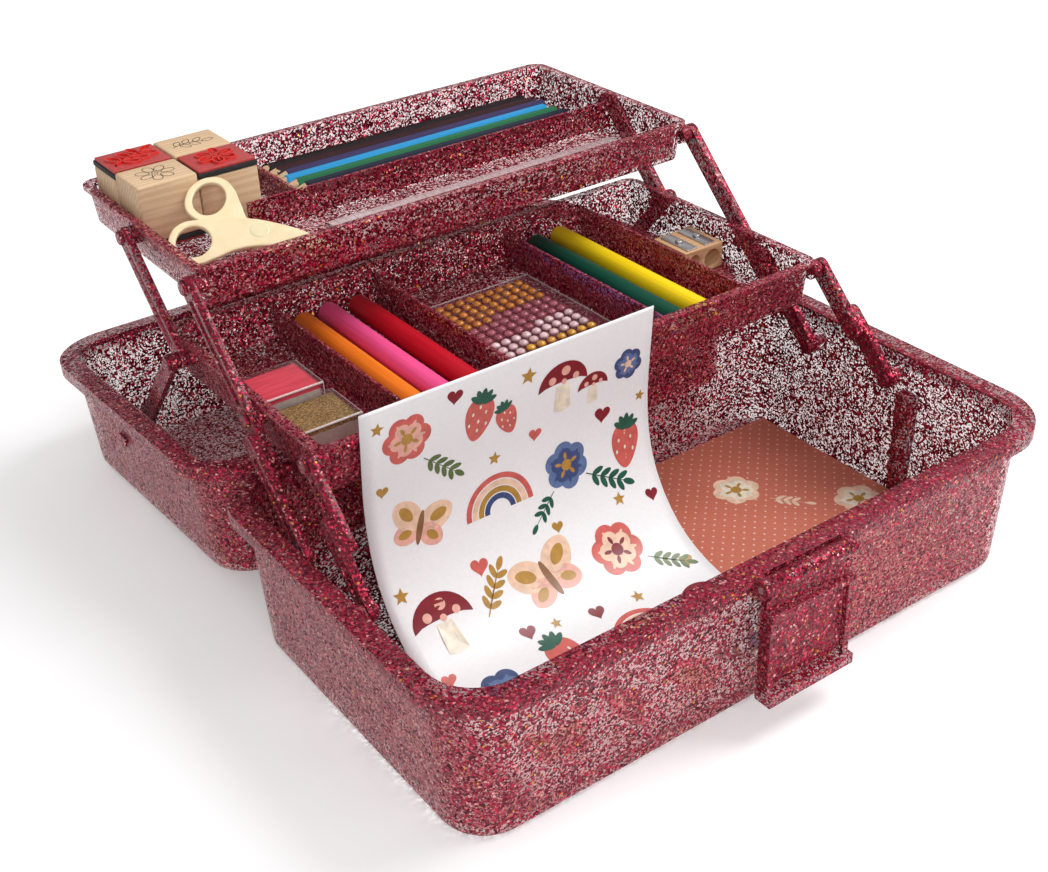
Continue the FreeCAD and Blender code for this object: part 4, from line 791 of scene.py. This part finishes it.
# Sticker sheet: a coated white sheet that stands against the middle tray and
# curls out over the card, with printed stickers of flowers, fruit and hearts.
def smooth_path(points, length, count):
    """A natural cubic spline through points by chord length, cut to a length and
    read at equal steps of its own arc. Returns points and unit directions."""
    points = np.asarray(points, float)
    knots = np.concatenate([[0.0], np.cumsum(np.linalg.norm(np.diff(points, axis=0), axis=1))])
    gap = np.diff(knots)
    matrix = np.eye(len(points))
    target = np.zeros_like(points)
    inner = np.arange(1, len(points) - 1)
    matrix[inner, inner - 1] = gap[:-1]
    matrix[inner, inner] = 2 * (gap[:-1] + gap[1:])
    matrix[inner, inner + 1] = gap[1:]
    bends = np.diff(points, axis=0) / gap[:, None]
    target[1:-1] = 6 * np.diff(bends, axis=0)
    second = np.linalg.solve(matrix, target)
    dense = np.linspace(0.0, knots[-1], 2000)
    at = np.clip(np.searchsorted(knots, dense, side="right") - 1, 0, len(gap) - 1)
    h, t = gap[at][:, None], (dense - knots[at])[:, None]
    line = (points[at] + t * (bends[at] - h * (2 * second[at] + second[at + 1]) / 6)
            + t ** 2 * second[at] / 2 + t ** 3 * (second[at + 1] - second[at]) / (6 * h))
    run = np.concatenate([[0.0], np.cumsum(np.linalg.norm(np.diff(line, axis=0), axis=1))])
    want = np.linspace(0.0, length, count)
    even = np.column_stack([np.interp(want, run, line[:, k]) for k in range(points.shape[1])])
    way = np.gradient(even, axis=0)
    return even, way / np.linalg.norm(way, axis=1, keepdims=True)


low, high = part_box("sticker_sheet")
sheet_width, sheet_length = high.x - low.x, 0.210
profile = np.array([(30.2, 126.3), (31.2, 115.0), (32.6, 100.0), (33.9, 82.0), (33.2, 64.0), (29.0, 46.0),
                    (19.8, 29.5), (5.8, 16.4), (-11.0, 9.0), (-31.0, 5.8), (-54.0, 5.0), (-84.0, 4.9)]) * mm
line, way = smooth_path(profile, sheet_length, 120)
out = np.column_stack([way[:, 1], -way[:, 0]])


def on_sheet(flat, lift):
    """Lay points (across, down) in metres on the curled sheet, lifted along its normal."""
    run = np.linspace(0.0, sheet_length, len(line))
    y, z, ny, nz = (np.interp(flat[:, 1], run, column) for column in
                    (line[:, 0], line[:, 1], out[:, 0], out[:, 1]))
    return np.column_stack([low.x + flat[:, 0], y + ny * lift, z + nz * lift])


across, down = np.meshgrid(np.linspace(0.0, sheet_width, 24), np.linspace(0.0, sheet_length, len(line)),
                           indexing="ij")
points = on_sheet(np.column_stack([across.ravel(), down.ravel()]), 0.0)
paper = mesh_piece("curled_sticker_sheet", points, woven(*across.shape))
paper.data.shade_smooth()
body_thick = paper.modifiers.new("paper_thickness", "SOLIDIFY")
body_thick.thickness = 0.0004
body_thick.offset = -1.0
coated = speckled("coated_paper", (0.86, 0.86, 0.875), (0.90, 0.90, 0.91), 700.0, 0.36, 0.03)
paper.data.materials.append(coated)
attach(paper, "base")
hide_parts("sticker_sheet")


def turned(outline, angle, x, y):
    """Turn and move a flat outline; x is across the sheet and y down it, in mm."""
    c, s = math.cos(angle), math.sin(angle)
    u, v = np.asarray(outline).T
    return np.column_stack([u * c - v * s + x, u * s + v * c + y])


def heart(size, count=30):
    """The usual heart curve: the cube of the sine across, four cosines down."""
    t = np.linspace(0.0, 2 * np.pi, count, endpoint=False)
    x = 16 * np.sin(t) ** 3
    y = -(13 * np.cos(t) - 5 * np.cos(2 * t) - 2 * np.cos(3 * t) - np.cos(4 * t))
    return np.column_stack([x, y]) * size / 32


def star(size, points=5, depth=0.45):
    """A star whose radius goes between two values."""
    t = np.linspace(0.0, 2 * np.pi, points * 2, endpoint=False)
    r = np.where(np.arange(points * 2) % 2 == 0, size / 2, size / 2 * depth)
    return np.column_stack([r * np.sin(t), -r * np.cos(t)])


inks = {"navy": (0.045, 0.075, 0.20), "blue": (0.11, 0.18, 0.36), "coral": (0.62, 0.12, 0.10),
        "blush": (0.80, 0.42, 0.34), "peach": (0.84, 0.58, 0.42), "gold": (0.46, 0.25, 0.045),
        "green": (0.012, 0.10, 0.062), "leaf": (0.10, 0.16, 0.045), "wine": (0.22, 0.008, 0.018),
        "cream": (0.84, 0.76, 0.62), "brown": (0.26, 0.12, 0.05)}
ink_names = list(inks)
prints = []


def stick(ink, outline, layer=1):
    """Keep one printed shape with its ink and how far up the pile of shapes it lies."""
    outline = np.asarray(outline)
    x, y = (outline - outline.mean(axis=0)).T
    if np.sum(x * np.roll(y, -1) - y * np.roll(x, -1)) < 0.0:
        outline = outline[::-1]
    prints.append((ink_names.index(ink), outline, layer))


def draw_bloom(x, y, size, outer, inner, heart_ink, turn=0.0):
    """An open flower: two rings of rounded petals and a dotted middle."""
    for ring, (count, reach, broad, ink) in enumerate(((6, 0.52, 0.42, outer), (5, 0.36, 0.30, inner))):
        for k in range(count):
            a = turn + ring * 0.5 + 2 * math.pi * k / count
            stick(ink, turned(disc(size * broad / 2, size * reach * 0.52, 0.0), a, x, y), 1 + ring)
            vein = petal(size * reach * 0.42, size * 0.07, 0.0, size * reach * 0.30, 14)
            stick(inner if ring == 0 else heart_ink, turned(vein, a, x, y), 2 + ring)
    stick(heart_ink, turned(disc(size * 0.11), 0.0, x, y), 5)


def draw_twig(x, y, size, ink, turn, count=4):
    """A bent stem with pairs of pointed leaves."""
    for k in range(count):
        way = size * (0.18 + 0.22 * k)
        for side in (-1, 1):
            leaf = petal(size * 0.30, size * 0.13, side * 0.75, 0.0)
            stick(ink, turned(leaf + [way, 0.0], turn, x, y))
    stem = np.array([(0, -0.012), (1, -0.008), (1, 0.008), (0, 0.012)]) * size
    stick(ink, turned(stem, turn, x, y))
    stick(ink, turned(petal(size * 0.3, size * 0.14, 0.0, size), turn, x, y))


def draw_berry(x, y, size, turn):
    """A strawberry: a rounded wedge with seeds and a leafy cap."""
    t = np.linspace(0.0, 2 * np.pi, 36, endpoint=False)
    wedge = np.column_stack([0.42 * np.sin(t) * (1 - 0.224 * (1 - np.cos(t))), 0.5 * np.cos(t)]) * size
    stick("coral", turned(wedge, turn + math.pi, x, y))
    for a, b in ((-0.16, -0.1), (0.14, -0.14), (0.0, 0.06), (-0.2, 0.14), (0.2, 0.12), (-0.02, -0.26),
                 (0.02, 0.26)):
        seed = disc(size * 0.026, a * size, b * size, 8, 1.7)
        stick("cream", turned(seed, turn, x, y), 2)
    for a in (-1.1, -0.55, 0.0, 0.55, 1.1):
        leaf = petal(size * 0.34, size * 0.14, a - math.pi / 2, 0.0, 16) + [0.0, -0.34 * size]
        stick("green", turned(leaf, turn, x, y), 3)


def draw_cap(x, y, size):
    """A toadstool: a domed cap with pale spots on a short stalk."""
    t = np.linspace(0.0, np.pi, 20)
    dome = np.column_stack([0.5 * np.cos(t), -0.46 * np.sin(t)]) * size
    stalk = np.array([(-0.13, -0.02), (0.13, -0.02), (0.17, 0.46), (0.0, 0.5), (-0.17, 0.46)]) * size
    stick("cream", turned(stalk, 0.0, x, y))
    stick("wine", turned(np.concatenate([dome, disc(size * 0.5, 0.0, 0.0, 24, 0.16)[12:]]), 0.0, x, y), 2)
    for a, b, r in ((-0.22, -0.16, 0.075), (0.05, -0.28, 0.09), (0.26, -0.12, 0.065), (0.02, -0.08, 0.055)):
        stick("blush", turned(disc(size * r, a * size, b * size, 16), 0.0, x, y), 3)


def draw_wings(x, y, size, turn):
    """A butterfly: two pairs of oval wings, lighter spots and a slim body."""
    for side in (-1, 1):
        for reach, broad, a, ink in ((0.56, 0.40, 0.62, "peach"), (0.42, 0.32, -0.45, "blush")):
            slope = a if side > 0 else math.pi - a
            wing = petal(size * reach, size * broad, slope) * [1, -1]
            spot = petal(size * reach * 0.5, size * broad * 0.4, slope, size * reach * 0.32) * [1, -1]
            stick(ink, turned(wing, turn, x, y))
            stick("gold", turned(spot, turn, x, y), 2)
    stick("brown", turned(disc(size * 0.05, 0.0, 0.0, 16, 5.0), turn, x, y), 3)


def draw_arch(x, y, size):
    """A rainbow of four bands, each a half ring of short pieces."""
    t = np.linspace(0.0, np.pi, 24)
    around = np.column_stack([np.cos(t), -np.sin(t)])
    for k, ink in enumerate(("coral", "peach", "gold", "navy")):
        outer = size * (0.5 - 0.09 * k)
        inner = outer - 0.075 * size
        for a, b in zip(around, around[1:]):
            stick(ink, np.array([outer * a, outer * b, inner * b, inner * a]) + [x, y])


draw_bloom(22, 20, 25, "coral", "blush", "gold")
draw_twig(30, 33, 20, "leaf", 0.7)
draw_berry(58, 24, 22, 0.25)
draw_berry(73, 30, 16, -0.3)
draw_cap(103, 24, 27)
draw_cap(120, 31, 17)
draw_bloom(140, 26, 17, "navy", "blue", "peach", 0.3)
draw_wings(25, 66, 32, 0.35)
draw_arch(66, 74, 36)
draw_bloom(104, 66, 25, "blue", "navy", "gold", 0.4)
draw_twig(114, 74, 22, "green", 0.5)
draw_twig(95, 76, 17, "green", 2.4, 3)
draw_berry(138, 68, 23, 0.15)
draw_cap(22, 110, 30)
draw_twig(42, 116, 22, "gold", -0.9)
draw_wings(78, 112, 38, -0.2)
draw_bloom(116, 113, 28, "coral", "peach", "wine", 0.2)
draw_twig(128, 122, 19, "leaf", 0.6)
draw_bloom(28, 152, 26, "navy", "blue", "blush")
draw_berry(62, 150, 24, -0.2)
draw_arch(100, 160, 34)
draw_cap(136, 156, 24)
draw_wings(27, 190, 30, 0.2)
draw_berry(62, 190, 21, 0.3)
draw_bloom(97, 191, 24, "coral", "blush", "gold", 0.5)
draw_twig(110, 186, 18, "green", 0.4, 3)
draw_bloom(137, 194, 18, "navy", "blue", "peach", 0.2)
for x, y, size, ink in ((46, 178, 8, "coral"), (80, 177, 6, "wine"), (46, 8, 8, "wine"),
                        (88, 44, 7, "coral"), (126, 48, 9, "wine"), (9, 42, 6, "gold"),
                        (48, 94, 9, "coral"), (146, 96, 7, "wine"), (92, 92, 6, "gold"), (54, 130, 8, "wine"),
                        (10, 134, 7, "coral"), (88, 136, 8, "wine"), (144, 132, 7, "gold")):
    stick(ink, turned(heart(size), 0.15, x, y))
for x, y, size in ((9, 176, 7), (46, 201, 6), (119, 201, 7), (84, 12, 9), (8, 10, 7), (148, 46, 6),
                   (66, 48, 7), (8, 92, 8), (128, 92, 7), (68, 132, 6), (110, 138, 7)):
    stick("gold", turned(star(size), 0.2, x, y))


def printed(name, shapes, lay, body):
    """Flat printed shapes as one piece: each outline is drawn in rings towards its middle,
    laid by a function of its points and its lift, in the ink of its own slot."""
    shares = np.array([1.0, 0.7, 0.35, 0.0])
    lowest, layer_step, own_step = 0.00004, 0.00003, 0.000002
    parts, inks_used = [], []
    for k, (ink, outline, layer) in enumerate(shapes):
        quads = woven(len(shares), len(outline), around=True, flip=True)
        lift = lowest + layer_step * layer + own_step * (k % 12)
        parts.append((lay(ringed(outline, shares) * mm, lift), quads))
        inks_used.append(np.full(len(quads), ink))
    points, faces = gathered(parts)
    made = mesh_piece(name, points, faces, np.concatenate(inks_used).astype(np.int32))
    for ink in inks:
        made.data.materials.append(ink_looks[ink])
    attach(made, body)
    return made


ink_looks = {name: speckled(f"sticker_{name}", *tones(tint, 0.86, 1.12), 260.0, 0.34, 0.02)
             for name, tint in inks.items()}
stickers = printed("stickers", prints, on_sheet, "base")
for soft in (paper, stickers):
    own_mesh(soft)


# Card: a flat sheet of printed card with small pale dots in staggered rows and
# a few blooms, which lies on the floor of the base.
low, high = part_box("card")
card_print, tree, shader, where = start_material("card_print")
rows_per_metre = 205.0
slanted = add(tree, "Mapping", Vector=where, Rotation=(0.0, 0.0, math.radians(45.0)),
              Scale=(rows_per_metre, rows_per_metre, 0.0)).outputs[0]
cell = add(tree, "VectorMath", {"operation": "FRACTION"}, i0=slanted).outputs[0]
away = add(tree, "VectorMath", {"operation": "DISTANCE"}, i0=cell, i1=(0.5, 0.5, 0.0)).outputs["Value"]
dot = ranged(tree, away, 1.0, 0.0, start=0.10, end=0.13)
fibre = noise(tree, where, 900.0, 5.0)
ground = mottled(tree, fibre, (0.55, 0.150, 0.095), (0.62, 0.185, 0.120))
colour = blended(tree, dot, ground, (0.86, 0.56, 0.48, 1.0))
bump = add(tree, "Bump", Strength=0.06, Distance=0.0002, Height=fibre)
feed(tree, shader, Base_Color=colour, Roughness=0.5, Normal=bump.outputs[0])
eased("card", 0.0003, "base", card_print)
prints.clear()
draw_bloom(150, 44, 26, "peach", "cream", "gold", 0.2)
draw_twig(158, 60, 18, "peach", 0.9, 3)
draw_bloom(192, 88, 26, "peach", "cream", "gold", 0.5)
draw_twig(184, 104, 18, "peach", 2.2, 3)
draw_bloom(120, 118, 24, "peach", "cream", "gold")


def on_card(flat, lift):
    """Lay points (across, down) in metres on the card, from its back left corner."""
    return np.column_stack([low.x + flat[:, 0], high.y - flat[:, 1], np.full(len(flat), high.z + lift)])


printed("card_blooms", prints, on_card, "base")
